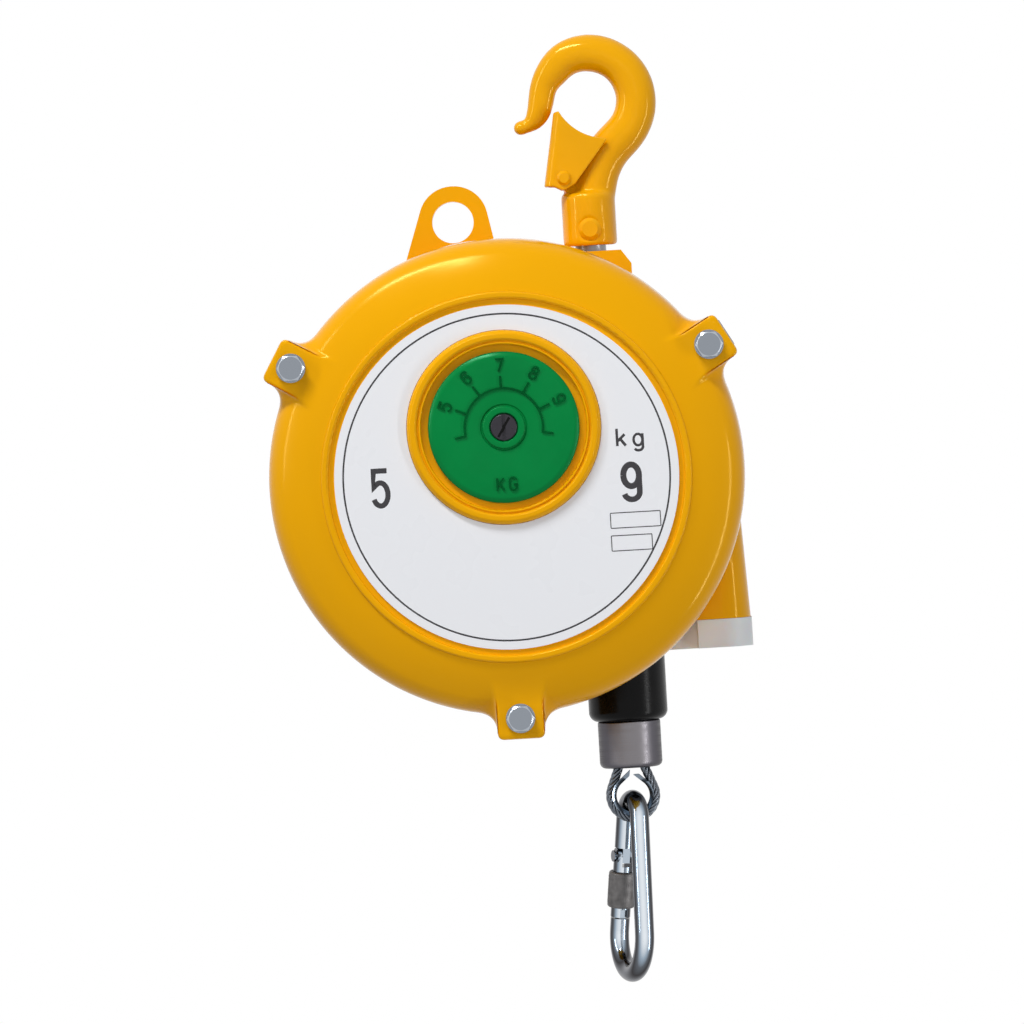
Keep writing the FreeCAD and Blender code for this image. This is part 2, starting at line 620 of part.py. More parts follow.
def main_shaft():
    """Spring arbor: one stepped shaft from the dial pinion to the worm wheel."""
    b = body("main_shaft")
    turned(b, [(DIAL_FLOOR + 0.3, 0), (DIAL_FLOOR + 0.3, S.tip_radius, 0.4),
               (GEAR_BACK, S.tip_radius), (GEAR_BACK, S.shaft_radius - 2),
               (GEAR_BACK + 1.2, S.shaft_radius), (S.case_depth + 1, S.shaft_radius),
               (S.case_depth + 1, S.shaft_radius - 1), (S.gear_house - 3, S.shaft_radius - 1),
               (S.gear_house - 3, S.journal_radius), (S.gear_house + 3, S.journal_radius, 0.6),
               (S.gear_house + 3, 0)])
    prism(b, "XZ", [[(-2, 4), (-2, 9), (2, 9), (2, 4)]], S.worm_y - 5, S.worm_y + 12, cut=True)
    prism(b, "XZ", [[(-1.5, 5), (-1.5, 9), (1.5, 9), (1.5, 5)]], -24, -2, cut=True)
    b = body("spring_core")
    turned(b, [(-26, S.shaft_radius), (-26, 16, 1), (0.5, 16, 1), (0.5, S.shaft_radius)])
    prism(b, "XZ", [[(-1.5, 6), (-1.5, 10), (1.5, 10), (1.5, 6)]], -24, -2, cut=True)
    prism(b, "XZ", [[(10, -2.5), (20, -2.5), (20, 0.2), (10, 0.2)]], -27, 2, cut=True)
    b = body("core_key")
    prism(b, "XZ", [[(-1.45, 5.05), (-1.45, 9.9), (1.45, 9.9), (1.45, 5.05)]], -23.9, -2.1)
    b = body("worm_wheel")
    tall = WHEEL_PITCH + S.worm_module * 0.85
    low, high = S.worm_y - 4.5, S.worm_y + 4.5
    turned(b, [(low, S.shaft_radius - 1), (low, tall - 4), (low + 1, tall), (high - 1, tall),
               (high, tall - 4), (high, S.shaft_radius - 1)])
    around(b, tooth_gap(b, WHEEL_PITCH, S.worm_module, low, high, 0.5, WORM_LEAD), 30)
    prism(b, "XZ", [[(-2, 3), (-2, 10), (2, 10), (2, 3)]], low - 1, high + 1, cut=True)
    b = body("wheel_key")
    prism(b, "XZ", [[(-1.95, 4.05), (-1.95, 9.9), (1.95, 9.9), (1.95, 4.05)]], low, high)
    ring_part("wheel_collar", S.shaft_radius - 1, 11, high + 0.05, S.gear_house - 3.2)


WORM_LEAD = -6.1


def worm():
    """Single-start worm along X, square-on to the wheel above it."""
    pitch = S.worm_module.value * math.pi
    turns = 5
    outer, root = (S.worm_pitch + S.worm_module * 0.85).value, (S.worm_pitch - S.worm_module * 1.2).value
    path = Part.makeLongHelix(pitch, pitch * turns, root, 0, False)
    mid, lean = pitch / 4 - 0.15, math.tan(math.radians(20))
    half_in = mid + (S.worm_pitch.value - root) * lean
    half_out = mid - (outer - S.worm_pitch.value) * lean
    rim = Part.makePolygon([V(root - 0.3, 0, -half_in), V(outer, 0, -half_out), V(outer, 0, half_out),
                            V(root - 0.3, 0, half_in), V(root - 0.3, 0, -half_in)])
    thread = Part.Wire(path.Edges).makePipeShell([rim], True, True)
    thread.translate(V(0, 0, -pitch * turns / 2))
    turn = FreeCAD.Rotation(V(0, 1, 0), 90)
    thread.Placement = FreeCAD.Placement(V(0, 0, 0), turn).multiply(thread.Placement)
    helix = solid("worm_thread", thread)
    spin = FreeCAD.Rotation(V(1, 0, 0), WORM_PHASE)
    helix.Placement = FreeCAD.Placement(V(0, 0, 0), spin)
    b = doc.addObject("PartDesign::Body", "worm_core")
    turned(b, [(-62, 0), (-62, S.journal_radius), (-48, S.journal_radius), (-48, 5.4), (22, 5.4),
               (22, S.journal_radius), (32, S.journal_radius), (32, 0)], "XZ")
    prism(b, "YZ", [hexagon(0, 0, 8)], -70, -61.5)
    fused = doc.addObject("Part::Fuse", "worm")
    fused.Base = b
    fused.Tool = helix
    single("worm", fused, (0, S.worm_y, WORM_Z))
    b = body("worm_bushes", (0, S.worm_y, WORM_Z))
    outer = S.worm_pitch + S.worm_module + 0.5
    prism(b, "YZ", [(0, 0, outer - 0.05), (0, 0, S.journal_radius + 0.05)], -61.5, -48.4)
    prism(b, "YZ", [(0, 0, outer - 0.05), (0, 0, S.journal_radius + 0.05)], 22.4, 33.8)


WORM_PHASE = 55


def groove_path(start, end):
    """Rope's line on the tapered drum, start and end in turns from the rope's exit."""
    rise = (S.drum_large - S.rope_x).value / S.rope_turns.value
    steps = int((end - start) * 20)
    points = []
    for i in range(steps + 1):
        t = start + (end - start) * i / steps
        r = S.rope_x.value + rise * t
        a = 2 * math.pi * t
        points.append(V(r * math.cos(a), S.rope_y.value + S.rope_pitch.value * max(t, 0), r * math.sin(a)))
    curve = Part.BSplineCurve()
    curve.interpolate(points)
    return curve


def rope_on_drum():
    curve = groove_path(0, S.rope_turns.value)
    edge = curve.toShape()
    start = curve.value(curve.FirstParameter)
    along = curve.tangent(curve.FirstParameter)[0]
    feature("rope_wraps", tube([edge], S.rope_radius.value, start, along))
    end = curve.value(curve.LastParameter)
    along = curve.tangent(curve.LastParameter)[0]
    return end, along


def cable_drum():
    raw = doc.addObject("PartDesign::Body", "drum_blank")
    span = S.rope_pitch * S.rope_turns
    slope = (S.drum_large - S.rope_x) / span
    first = S.rope_y - 2.4
    last = S.rope_y + span + 2.6
    hub = S.shaft_radius + 4
    turned(raw, [(5.4, hub), (5.4, 42), (first - 2.6, 42), (first - 2.6, S.rope_x + 4, 0.8),
                 (first - 0.6, S.rope_x + 4, 0.8), (first, S.rope_x - 0.6 - slope * 2.4),
                 (last, S.drum_large - 0.6 + slope * 2.6), (last, S.drum_flange, 0.8),
                 (last + 2.4, S.drum_flange, 0.8), (last + 2.4, 50), (28, 36), (12, 34), (12, 17),
                 (last + 2, 17), (last + 2, hub)])
    spots = [(36 * math.cos(a), 36 * math.sin(a), 1.9) for a in [math.pi / 4 + i * math.pi / 2 for i in range(4)]]
    prism(raw, "XZ", spots, 4, 11.9, cut=True)
    curve = groove_path(-0.1, S.rope_turns.value + 0.01)
    start = curve.value(curve.FirstParameter)
    along = curve.tangent(curve.FirstParameter)[0]
    groove = tube([curve.toShape()], S.rope_radius.value + 0.15, start, along)
    rope_line = groove_path(0, S.rope_turns.value)
    rope_end = rope_line.value(rope_line.LastParameter)
    end_along = rope_line.tangent(rope_line.LastParameter)[0]
    pocket = Part.makeCylinder(3.4, 6.5, rope_end - end_along * 0.2, end_along)
    cutter = solid("groove_cutter", groove.fuse(pocket))
    cut = doc.addObject("Part::Cut", "cable_drum")
    cut.Base = raw
    cut.Tool = cutter
    single("cable_drum", cut)
    b = body("drum_bushes")
    for low, high in ((size(5.6), size(17)), (last - 10, last + 1.8)):
        prism(b, "XZ", [(0, 0, hub - 0.02), (0, 0, S.shaft_radius + 0.05)], low, high)


def spring_parts():
    case = S.spring_case
    back = S.spring_case_back
    front = back - S.spring_width - 6.1
    b = body("spring_barrel")
    turned(b, [(back, 17), (back, case, 1.5), (front, case), (front, case - 4), (front + 3, case - 4),
               (front + 3.5, case - 3), (back - 3, case - 3), (back - 3, 17)])
    spots = [(36 * math.cos(a), 36 * math.sin(a), 1.9) for a in [math.pi / 4 + i * math.pi / 2 for i in range(4)]]
    prism(b, "XZ", spots, back - 4, back + 1, cut=True)
    hole = prism(b, "XZ", [(0, case - 2, 1)], front - 1, front + 2.8, cut=True)
    around(b, hole, 6)
    b = body("barrel_lid")
    holes = [((case - 2) * math.cos(a), (case - 2) * math.sin(a), 1.1)
             for a in [math.radians(30 + 60 * i) for i in range(6)]]
    prism(b, "XZ", [(0, 0, case), (0, 0, 17)] + holes, front - 1.5, front)
    b = body("lid_screws")
    head = prism(b, "XZ", [(0, case - 2, 1.9)], front - 2.6, front - 1.5)
    shank = prism(b, "XZ", [(0, case - 2, 0.98)], front - 1.6, front + 2.6)
    around(b, [head, shank], 6)
    b = body("drum_screws")
    heads = [(x, z, 3.4) for x, z, _ in spots]
    prism(b, "XZ", heads, back - 4.8, back - 3)
    prism(b, "XZ", [(x, z, 1.85) for x, z, _ in spots], back - 3.1, 11.6)
    feature("power_spring", spiral(front + 1.2, front + 1.2 + S.spring_width))


def spiral(low, high):
    """Flat coiled strip: half circles whose centres alternate, drawn on both faces."""
    thick = S.spring_sheet.value
    inner, outer = 16.6, S.spring_case.value - 4.3 - thick
    halves = 20
    step = (outer - inner) / halves
    inside, outside = [], []
    for i in range(halves):
        centre = V(step if i % 2 else 0, 0, 0)
        r = inner + step * i
        sign = -1 if i % 2 else 1
        for extra, bank in ((0, inside), (thick, outside)):
            a = V(centre.x + sign * (r + extra), 0, 0)
            c = V(centre.x - sign * (r + extra), 0, 0)
            m = V(centre.x, 0, sign * (r + extra))
            bank.append(Part.Arc(a, m, c).toShape())
    tips = [(bank[0].Vertexes[0].Point, bank[-1].Vertexes[-1].Point) for bank in (inside, outside)]
    closing = [Part.makeLine(tips[0][0], tips[1][0]), Part.makeLine(tips[0][1], tips[1][1])]
    edges = inside + outside + closing
    wire = Part.Wire(Part.__sortEdges__(edges))
    face = Part.Face(wire)
    strip = face.extrude(V(0, (high - low).value, 0))
    strip.translate(V(0, low.value, 0))
    if strip.Volume < 0:
        strip.reverse()
    return strip


def hook_sections():
    """Centre, width and direction of each section along the forged hook."""
    bx, bz = S.hook_x.value, (S.seat_z - S.bowl_radius).value
    line = [(S.stem_x.value + 0.8, 108, 17.5), (S.stem_x.value + 2, 114, 18.6), (bx + 2.8, 123, 17.8)]
    for turn, wide in ((-68, 17.6), (-40, 17.2), (-18, 16.9), (5, 16.6), (32, 16.2), (60, 15.8),
                       (90, 15.4), (118, 14.6), (142, 13.2)):
        reach = S.bowl_radius.value + wide / 2
        if turn == -68:
            reach += 1.6
        a = math.radians(turn)
        line.append((bx + reach * math.cos(a), bz + reach * math.sin(a), wide))
    line += [(bx - 17.7, bz + 6.4, 11.4), (bx - 19.9, bz - 2.5, 10.3), (bx - 21.6, bz - 6, 9.1),
             (bx - 24, bz - 8.4, 7), (bx - 27.7, bz - 9.9, 6.2)]
    return line


def forged_bar(line, flat):
    """Loft of oval sections square to the line."""
    rings = []
    for i, (x, z, wide) in enumerate(line):
        before, after = line[max(i - 1, 0)], line[min(i + 1, len(line) - 1)]
        along = V(after[0] - before[0], 0, after[1] - before[1]).normalize()
        side = V(along.z, 0, -along.x)
        points = []
        for k in range(24):
            a = math.pi * k / 12
            points.append(V(x, 0, z) + side * (wide / 2 * math.cos(a))
                          + V(0, wide * flat / 2 * math.sin(a), 0))
        ring = Part.BSplineCurve()
        ring.interpolate(points, PeriodicFlag=True)
        rings.append(Part.Wire([ring.toShape()]))
    return Part.makeLoft(rings, True, False)


def hook():
    line = hook_sections()
    bar = doc.addObject("Part::Feature", "hook_bar")
    bar.Shape = forged_bar(line, 0.84)
    tip = doc.addObject("Part::Sphere", "hook_tip")
    tip.Radius = line[-1][2] / 2
    tip.Placement = FreeCAD.Placement(V(line[-1][0] - 0.4, 0, line[-1][1]), FreeCAD.Rotation())
    b = doc.addObject("PartDesign::Body", "hook_barrel")
    axis = (S.stem_x, 0)
    turned(b, [(0, S.barrel_low), (S.barrel_radius, S.barrel_low, 1), (S.barrel_radius, S.barrel_high, 2),
               (0, S.barrel_high)], "XZ", "V_Axis", shift=axis)
    x, z = S.latch_x, S.latch_z
    prism(b, "XZ", [(x, z, 4.8)], -4.5, 4.5)
    prism(b, "XZ", [[(x, z - 4.6), (x, z + 4.6), (x + 9, z + 6), (x + 9, z - 9), (x + 4, z - 9)]],
          -4.5, 4.5)
    prism(b, "XY", [(S.stem_x, 0, S.stem_radius + 0.02)], S.barrel_low - 1, 107.2, cut=True)
    prism(b, "XZ", [(S.stem_x, 100.1, 2.5)], -13, 13, cut=True)
    spot = S.barrel_radius - 1.2
    prism(b, "XZ", [(S.stem_x, 100.1, 4.8)], -14, -spot, cut=True)
    prism(b, "XZ", [(S.stem_x, 100.1, 4.8)], spot, 14, cut=True)
    prism(b, "XZ", [(x, z, 2.25)], -6, 6, cut=True)
    fused = doc.addObject("Part::MultiFuse", "hook")
    fused.Shapes = [b, bar, tip]
    single("hook", fused, (0, S.hook_y, 0))
    b = body("hook_stem", (S.stem_x, S.hook_y, 0))
    top = S.boss_top - 12.8
    turned(b, [(0, top - 8), (9.8, top - 8, 1), (9.8, top - 2), (S.stem_radius, top - 2),
               (S.stem_radius, 107, 0.8), (0, 107)], "XZ", "V_Axis")
    prism(b, "XZ", [(0, 100.1, 2.5)], -8, 8, cut=True)
    b = body("thrust_washer", (S.stem_x, S.hook_y, 0))
    prism(b, "XY", [(0, 0, 10.4), (0, 0, S.stem_radius + 0.1)], top - 1.9, top)
    b = body("stem_pin", (S.stem_x, S.hook_y, 100.1))
    reach = S.barrel_radius
    turned(b, [(-reach - 0.8, 0), (-reach - 0.8, 3.2), (-reach + 0.4, 4.65), (-reach + 1.2, 4.65),
               (-reach + 1.2, 2.45), (reach - 1.2, 2.45), (reach - 1.2, 4.65), (reach - 0.4, 4.65),
               (reach + 0.8, 3.2), (reach + 0.8, 0)])


def latch():
    x, z = S.latch_x, S.latch_z
    y = S.hook_y
    b = body("latch", (x, y, z))
    cheek = [(-8.4, -3.4), (-2.9, 27.2), (-0.7, 28), (6, 21.4), (15.4, 17.3), (18.9, 15.3, 1),
             (4.6, -2.6, 2), (-0.5, -5.4, 2.5), (-4, -3.4)]
    prism(b, "XZ", [cheek], -9.5, 9.5)
    soften(b, lambda e: e.BoundBox.XMax < -2.5 and e.BoundBox.ZLength > 20, 4)
    inside = [(-7.7, -9), (-6.7, -3.4), (-1.2, 27.2), (-0.5, 31), (22, 31), (22, -9)]
    prism(b, "XZ", [inside], -7.9, 7.9, cut=True)
    prism(b, "XZ", [(0, 0, 2.27)], -11, 11, cut=True)
    b = body("latch_rivet", (x, y, z))
    turned(b, [(-11, 0), (-11, 2), (-9.6, 3.05), (-9.6, 2.2), (9.6, 2.2), (9.6, 3.05), (11, 2),
               (11, 0)])
    coil = Part.makeLongHelix(1.15, 2.3, 3.6, 0, False)
    ring = tube(coil.Edges, 0.5, V(3.6, 0, 0), V(0, 1, 0.05))
    ring.translate(V(0, 0, -1.15))
    feature("latch_spring", ring, (x, y - 6.2, z), FreeCAD.Rotation(V(1, 0, 0), 90))


EYE_ROPE = 2.0
THIMBLE = 0.6


def loop_path(radius, centre_z, top, neck):
    """Teardrop line: straight legs from the ferrule that run on round the foot."""
    reach = top - centre_z
    span = math.sqrt(reach ** 2 + neck ** 2)
    turn = math.atan2(neck, reach) + math.acos(radius / span)
    touch = V(radius * math.sin(turn), 0, centre_z + radius * math.cos(turn))
    mirror = V(-touch.x, 0, touch.z)
    arc = Part.Arc(touch, V(0, 0, centre_z - radius), mirror)
    legs = (Part.makeLine(V(neck, 0, top), touch), Part.makeLine(mirror, V(-neck, 0, top)))
    return [legs[0], arc.toShape(), legs[1]], V(neck, 0, top), touch - V(neck, 0, top)


def load_parts():
    at = (S.rope_x, S.rope_y, 0)
    top = S.guide_low - 0.4
    hole = S.rope_radius + 0.1
    b = body("bumper", at)
    turned(b, [(hole, top), (S.bumper_radius, top, 2), (S.bumper_radius, S.bumper_low, 4),
               (hole, S.bumper_low)], "XZ", "V_Axis")
    b = body("ferrule", at)
    low = S.ferrule_low
    turned(b, [(hole, S.bumper_low), (S.ferrule_radius, S.bumper_low, 0.8),
               (S.ferrule_radius, low, 2.5), (7.9, low), (5, low + 8.7), (hole, low + 8.7)],
           "XZ", "V_Axis")
    b = body("rope_run", at)
    prism(b, "XY", [(0, 0, S.rope_radius)], low + 8.8, -0.4)
    radius = S.eye_radius.value
    centre = S.eye_low.value + EYE_ROPE + radius
    path, start, along = loop_path(radius, centre, low.value + 7.5, 2.4)
    ring = Part.Wire([Part.makeCircle(EYE_ROPE, start, along)])
    feature("rope_eye", along_path(ring, path), at)
    inner = radius - EYE_ROPE - 0.05
    path, start, along = loop_path(inner, centre, low.value - 3, 1.0)
    out = V(1, 0, 0)
    half = [(0, -1.6), (1.6, -2.4), (1.9, -2.9), (-THIMBLE, -1.8)]
    points = half + [(-THIMBLE, 1.8), (1.9, 2.9), (1.6, 2.4), (0, 1.6)]
    rim = Part.makePolygon([start + out * a + V(0, b_, 0) for a, b_ in points + points[:1]])
    feature("thimble", along_path(rim, path), at)


CLIP_YAW = -70
CLIP_LEAN = 3.6


def clip_frame():
    """Where the snap hook hangs: top of its rod, its own X towards the spine."""
    turn = FreeCAD.Rotation(V(0, 1, 0), CLIP_LEAN).multiply(FreeCAD.Rotation(V(0, 0, 1), CLIP_YAW))
    top = S.eye_low + 2 * EYE_ROPE + THIMBLE + 1.0 + 2 * S.rod_radius
    return (S.rope_x, S.rope_y, top), turn


def clip_lines():
    """Tangent points of the pear-shaped centre line and a walk down its gate side."""
    rod, near, far = S.rod_radius.value, S.clip_top.value, S.clip_foot.value
    top, foot = -(rod + near), -(S.clip_length.value - rod - far)
    lean = (far - near) / (top - foot)
    side = math.sqrt(1 - lean ** 2)
    upper = V(-near * side, 0, top + near * lean)
    lower = V(-far * side, 0, foot + far * lean)
    down = (lower - upper).normalize()
    return top, foot, upper, lower, down


def rod_along(start, along, length, radius):
    return Part.makeCylinder(radius, length, start, along)


def plate_along(point, down, low, high, half, thick):
    """Flat plate in the clip's plane, from low to high along its gate side."""
    across = V(-down.z, 0, down.x)
    a, b = point + down * low, point + down * high
    outline = [a - across * half, a + across * half, b + across * half, b - across * half]
    outline = [p - V(0, thick / 2, 0) for p in outline]
    return Part.Face(Part.makePolygon(outline + outline[:1])).extrude(V(0, thick, 0))


def carabiner():
    at, turn = clip_frame()
    top, foot, upper, lower, down = clip_lines()
    rod = S.rod_radius.value
    rivet, nose = 17.3, 43.6
    flip = V(-1, 0, 0)
    upper_r, lower_r = V(-upper.x, 0, upper.z), V(-lower.x, 0, lower.z)
    start = upper + down * (rivet - 3.6)
    nose_end = upper + down * nose
    path = [Part.makeLine(start, upper), Part.Arc(upper, V(0, 0, top + S.clip_top.value), upper_r).toShape(),
            Part.makeLine(upper_r, lower_r),
            Part.Arc(lower_r, V(0, 0, foot - S.clip_foot.value), lower).toShape(),
            Part.makeLine(lower, nose_end)]
    frame = along_path(Part.Wire([Part.makeCircle(rod, start, upper - start)]), path)
    tongue = plate_along(upper, down, rivet - 6, rivet + 2.6, 3.2, 3.2)
    beak = plate_along(upper, down, 39.9, nose + 2, 2.4, 2.6)
    hole = Part.makeCylinder(1.55, 10, upper + down * rivet - V(0, 5, 0), V(0, 1, 0))
    feature("carabiner", frame.fuse([tongue, beak]).cut(hole), at, turn)
    pivot = upper + down * rivet
    pin = Part.makeCylinder(1.5, 9.2, pivot - V(0, 4.6, 0), V(0, 1, 0))
    heads = [Part.makeCylinder(2.4, 0.6, pivot + V(0, y, 0), V(0, 1, 0)) for y in (-4.8, 4.2)]
    feature("gate_pin", pin.fuse(heads), at, turn)
    blank = rod_along(pivot, down, 43 - rivet, rod + 0.12)
    lobe = Part.makeCylinder(3.3, 7, pivot - V(0, 3.5, 0), V(0, 1, 0))
    fork = plate_along(upper, down, rivet - 6, rivet + 4.2, 6, 3.6)
    slot = plate_along(upper, down, 39.4, 46, 6, 3.1)
    hole = Part.makeCylinder(1.58, 10, pivot - V(0, 5, 0), V(0, 1, 0))
    feature("carabiner_gate", blank.fuse(lobe).cut([fork, slot, hole]), at, turn)
    barrel = rod_along(upper + down * 23.9, down, 15, 5.85)
    bore = rod_along(upper + down * 23.5, down, 16, 4.2)
    feature("lock_sleeve", barrel.cut(bore), at, turn)


def rope_stop(end, along):
    """Crimped stop on the rope's inner end, held behind the drum's last groove."""
    feature("rope_stop", Part.makeCylinder(3.2, 6, end + along * 0.05, along))


def main():
    front_cover()
    label_plate()
    rear_case()
    cover_fasteners()
    bushes()
    wire_guide()
    gear_cover()
    dial_train()
    main_shaft()
    worm()
    cable_drum()
    end, along = rope_on_drum()
    rope_stop(end, along)
    spring_parts()
    hook()
    latch()
    load_parts()
    carabiner()
    doc.recompute()
    os.makedirs("parts", exist_ok=True)
    for item in doc.Objects:
        if "Invalid" in item.State or "Error" in item.State:
            raise RuntimeError("%s did not build" % item.Label)
    for node in nodes:
        shape = node.Shape
        if shape.isNull() or not shape.isValid() or shape.Volume <= 0:
            raise RuntimeError("%s has no valid solid" % node.Label)
        shape.exportStep("parts/%s.step" % node.Label)


main()
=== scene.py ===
"""Tool balancer: materials, finer pieces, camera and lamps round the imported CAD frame.

Lengths are in mm about the main shaft until at() turns them into the row frame in metres.
"""
import json
import math

import bmesh
import bpy
import numpy as np
from mathutils import Matrix, Vector


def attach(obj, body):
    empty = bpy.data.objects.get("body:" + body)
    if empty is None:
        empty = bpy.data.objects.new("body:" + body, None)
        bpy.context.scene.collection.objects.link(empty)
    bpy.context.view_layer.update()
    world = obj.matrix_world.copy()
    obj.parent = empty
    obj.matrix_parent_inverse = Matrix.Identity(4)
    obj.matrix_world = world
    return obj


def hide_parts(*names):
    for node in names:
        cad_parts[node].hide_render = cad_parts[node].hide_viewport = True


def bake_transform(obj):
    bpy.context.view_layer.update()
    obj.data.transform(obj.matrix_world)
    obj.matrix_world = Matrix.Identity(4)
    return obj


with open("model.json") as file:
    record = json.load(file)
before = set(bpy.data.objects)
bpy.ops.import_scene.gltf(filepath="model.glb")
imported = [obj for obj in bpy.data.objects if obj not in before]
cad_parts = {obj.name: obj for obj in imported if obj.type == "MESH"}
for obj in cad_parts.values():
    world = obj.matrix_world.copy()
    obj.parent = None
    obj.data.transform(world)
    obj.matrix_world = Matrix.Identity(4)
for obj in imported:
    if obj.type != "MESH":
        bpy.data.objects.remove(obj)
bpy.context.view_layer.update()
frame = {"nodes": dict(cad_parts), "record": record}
scene = bpy.context.scene
scene.view_settings.view_transform = "Standard"

MM = 0.001
SHAFT = Vector((-0.0419, -0.030, -0.1656))


def at(x, y, z):
    """Point given in mm about the main shaft's axis, in the row frame in metres."""
    return SHAFT + Vector((x, y, z)) * MM


# --- camera -------------------------------------------------------------------
def look(centre, distance, azimuth, pitch, roll, wide):
    """Camera that sees a width of so many metres at the centre; angles in degrees."""
    cam = bpy.data.objects.new("camera", bpy.data.cameras.new("camera"))
    scene.collection.objects.link(cam)
    a, p = math.radians(azimuth), math.radians(pitch)
    toward = Vector((math.sin(a) * math.cos(p), -math.cos(a) * math.cos(p), math.sin(p)))
    cam.location = centre + toward * distance
    spin = (-toward).to_track_quat("-Z", "Y").to_matrix().to_4x4()
    cam.matrix_world = Matrix.Translation(cam.location) @ spin @ Matrix.Rotation(math.radians(roll), 4, "Z")
    cam.data.sensor_width = 36
    cam.data.lens = 36 * distance / wide
    cam.data.clip_end = 50
    cam.data.dof.use_dof = False
    scene.camera = cam


# --- materials ------------------------------------------------------------------
class Mat:
    """Small node helper round one Principled material."""

    def __init__(self, name, color, rough, metal=0.0, **sockets):
        self.mat = bpy.data.materials.new(name)
        self.mat.use_nodes = True
        self.tree = self.mat.node_tree
        self.shader = self.tree.nodes["Principled BSDF"]
        self.put("Base Color", (*color, 1))
        self.put("Roughness", rough)
        self.put("Metallic", metal)
        for key, value in sockets.items():
            self.put(key.replace("_", " "), value)
        self.coords = self.tree.nodes.new("ShaderNodeTexCoord").outputs["Object"]

    def put(self, socket, value):
        self.shader.inputs[socket].default_value = value

    def node(self, kind, **props):
        made = self.tree.nodes.new("ShaderNode" + kind)
        for key, value in props.items():
            setattr(made, key, value)
        return made

    def link(self, a, b):
        self.tree.links.new(a, b)

    def noise(self, scale, detail=3, stretch=None, rough=0.5):
        made = self.node("TexNoise")
        made.inputs["Scale"].default_value = scale
        made.inputs["Detail"].default_value = detail
        made.inputs["Roughness"].default_value = rough
        source = self.coords
        if stretch:
            warp = self.node("Mapping")
            warp.inputs["Scale"].default_value = stretch
            self.link(self.coords, warp.inputs["Vector"])
            source = warp.outputs["Vector"]
        self.link(source, made.inputs["Vector"])
        return made.outputs["Fac"]

    def ramp(self, fac, stops):
        made = self.node("ValToRGB")
        elements = made.color_ramp.elements
        while len(elements) < len(stops):
            elements.new(0.5)
        for element, (place, color) in zip(elements, stops):
            element.position = place
            element.color = (*color, 1) if len(color) == 3 else color
        self.link(fac, made.inputs["Fac"])
        return made.outputs["Color"]

    def tint(self, fac, stops):
        """Colour by a pattern."""
        self.link(self.ramp(fac, stops), self.shader.inputs["Base Color"])
        return self

    def facing(self, stops, blend=0.5):
        """Painted reflection: tint by the angle to the eye, standing in for the dark sides a polished bar
        mirrors.
        """
        weight = self.node("LayerWeight")
        weight.inputs["Blend"].default_value = blend
        return self.tint(weight.outputs["Facing"], stops)

    def gloss(self, fac, low, high):
        """Roughness that wanders between two values."""
        self.link(self.ramp(fac, [(0.3, (low,) * 3), (0.7, (high,) * 3)]), self.shader.inputs["Roughness"])
        return self

    def bump(self, fac, strength, distance=0.0002):
        """Fine unevenness of the surface, its depth in metres."""
        made = self.node("Bump")
        made.inputs["Strength"].default_value = strength
        made.inputs["Distance"].default_value = distance
        self.link(fac, made.inputs["Height"])
        self.link(made.outputs["Normal"], self.shader.inputs["Normal"])
        return self


def shade(base, amount):
    return tuple(c * amount for c in base)


def srgb(r, g, b):
    """Linear colour from screen values of 0 to 255."""
    return tuple(((c / 255 + 0.055) / 1.055) ** 2.4 if c > 10 else c / 255 / 12.92 for c in (r, g, b))


YELLOW = srgb(247, 175, 1)
paint = Mat("enamel_yellow", YELLOW, 0.16, Specular_IOR_Level=0.34, Specular_Tint=(1, 0.74, 0.2, 1))
paint.tint(paint.noise(14, 4), [(0.3, shade(YELLOW, 0.95)), (0.75, YELLOW)])
paint.gloss(paint.noise(55, 3), 0.13, 0.2).bump(paint.noise(420, 3), 0.1, 0.00012)
hook_paint = Mat("enamel_hook", YELLOW, 0.15, Specular_IOR_Level=0.42, Specular_Tint=(1, 0.76, 0.24, 1))
hook_paint.tint(hook_paint.noise(40, 4), [(0.3, shade(YELLOW, 0.93)), (0.7, YELLOW)])
hook_paint.gloss(hook_paint.noise(90, 3), 0.11, 0.18).bump(hook_paint.noise(95, 3), 0.4, 0.0006)
LABEL = srgb(245, 246, 249)
label = Mat("label_sheet", LABEL, 0.3, Specular_IOR_Level=0.25)
label.tint(label.noise(9, 2), [(0.2, shade(LABEL, 0.994)), (0.8, LABEL)])
label.gloss(label.noise(60, 2), 0.25, 0.33)
ink = Mat("print_ink", srgb(44, 42, 46), 0.45)
ink.gloss(ink.noise(300, 2), 0.4, 0.55)
GREEN = srgb(0, 134, 62)
green = Mat("dial_green", GREEN, 0.2, Specular_IOR_Level=0.22, Specular_Tint=(0.3, 1, 0.6, 1))
green.tint(green.noise(45, 3), [(0.3, shade(GREEN, 0.85)), (0.7, GREEN)])
green.gloss(green.noise(120, 2), 0.16, 0.26).bump(green.noise(600, 2), 0.08, 0.0001)
# Painted shade: the raised dial marks are the dial's own green, darkened here to stand in for the shade on
# their sides.
marks_painted_shade = Mat("dial_marks_painted_shade", shade(GREEN, 0.4), 0.3, Specular_IOR_Level=0.12,
             Specular_Tint=(0.3, 1, 0.6, 1))
marks_painted_shade.tint(marks_painted_shade.noise(200, 2), [(0.3, shade(GREEN, 0.3)), (0.7, shade(GREEN, 0.45))])
black = Mat("rubber_black", srgb(4, 4, 5), 0.25, Specular_IOR_Level=0.12)
black.gloss(black.noise(200, 3), 0.2, 0.3).bump(black.noise(900, 3), 0.15, 0.0001)
oxide = Mat("black_oxide", srgb(50, 48, 54), 0.34, 0.3, Specular_IOR_Level=0.3)
oxide.gloss(oxide.noise(400, 3), 0.25, 0.4)
zinc = Mat("zinc_bright", srgb(176, 182, 190), 0.22, 1.0)
# Painted reflection: the zinc darkens towards edges seen edge-on, standing in for a dark room mirrored there.
zinc.facing([(0.0, srgb(142, 148, 156)), (0.2, srgb(176, 182, 190)), (0.5, srgb(88, 92, 98)),
             (1.0, srgb(52, 52, 56))])
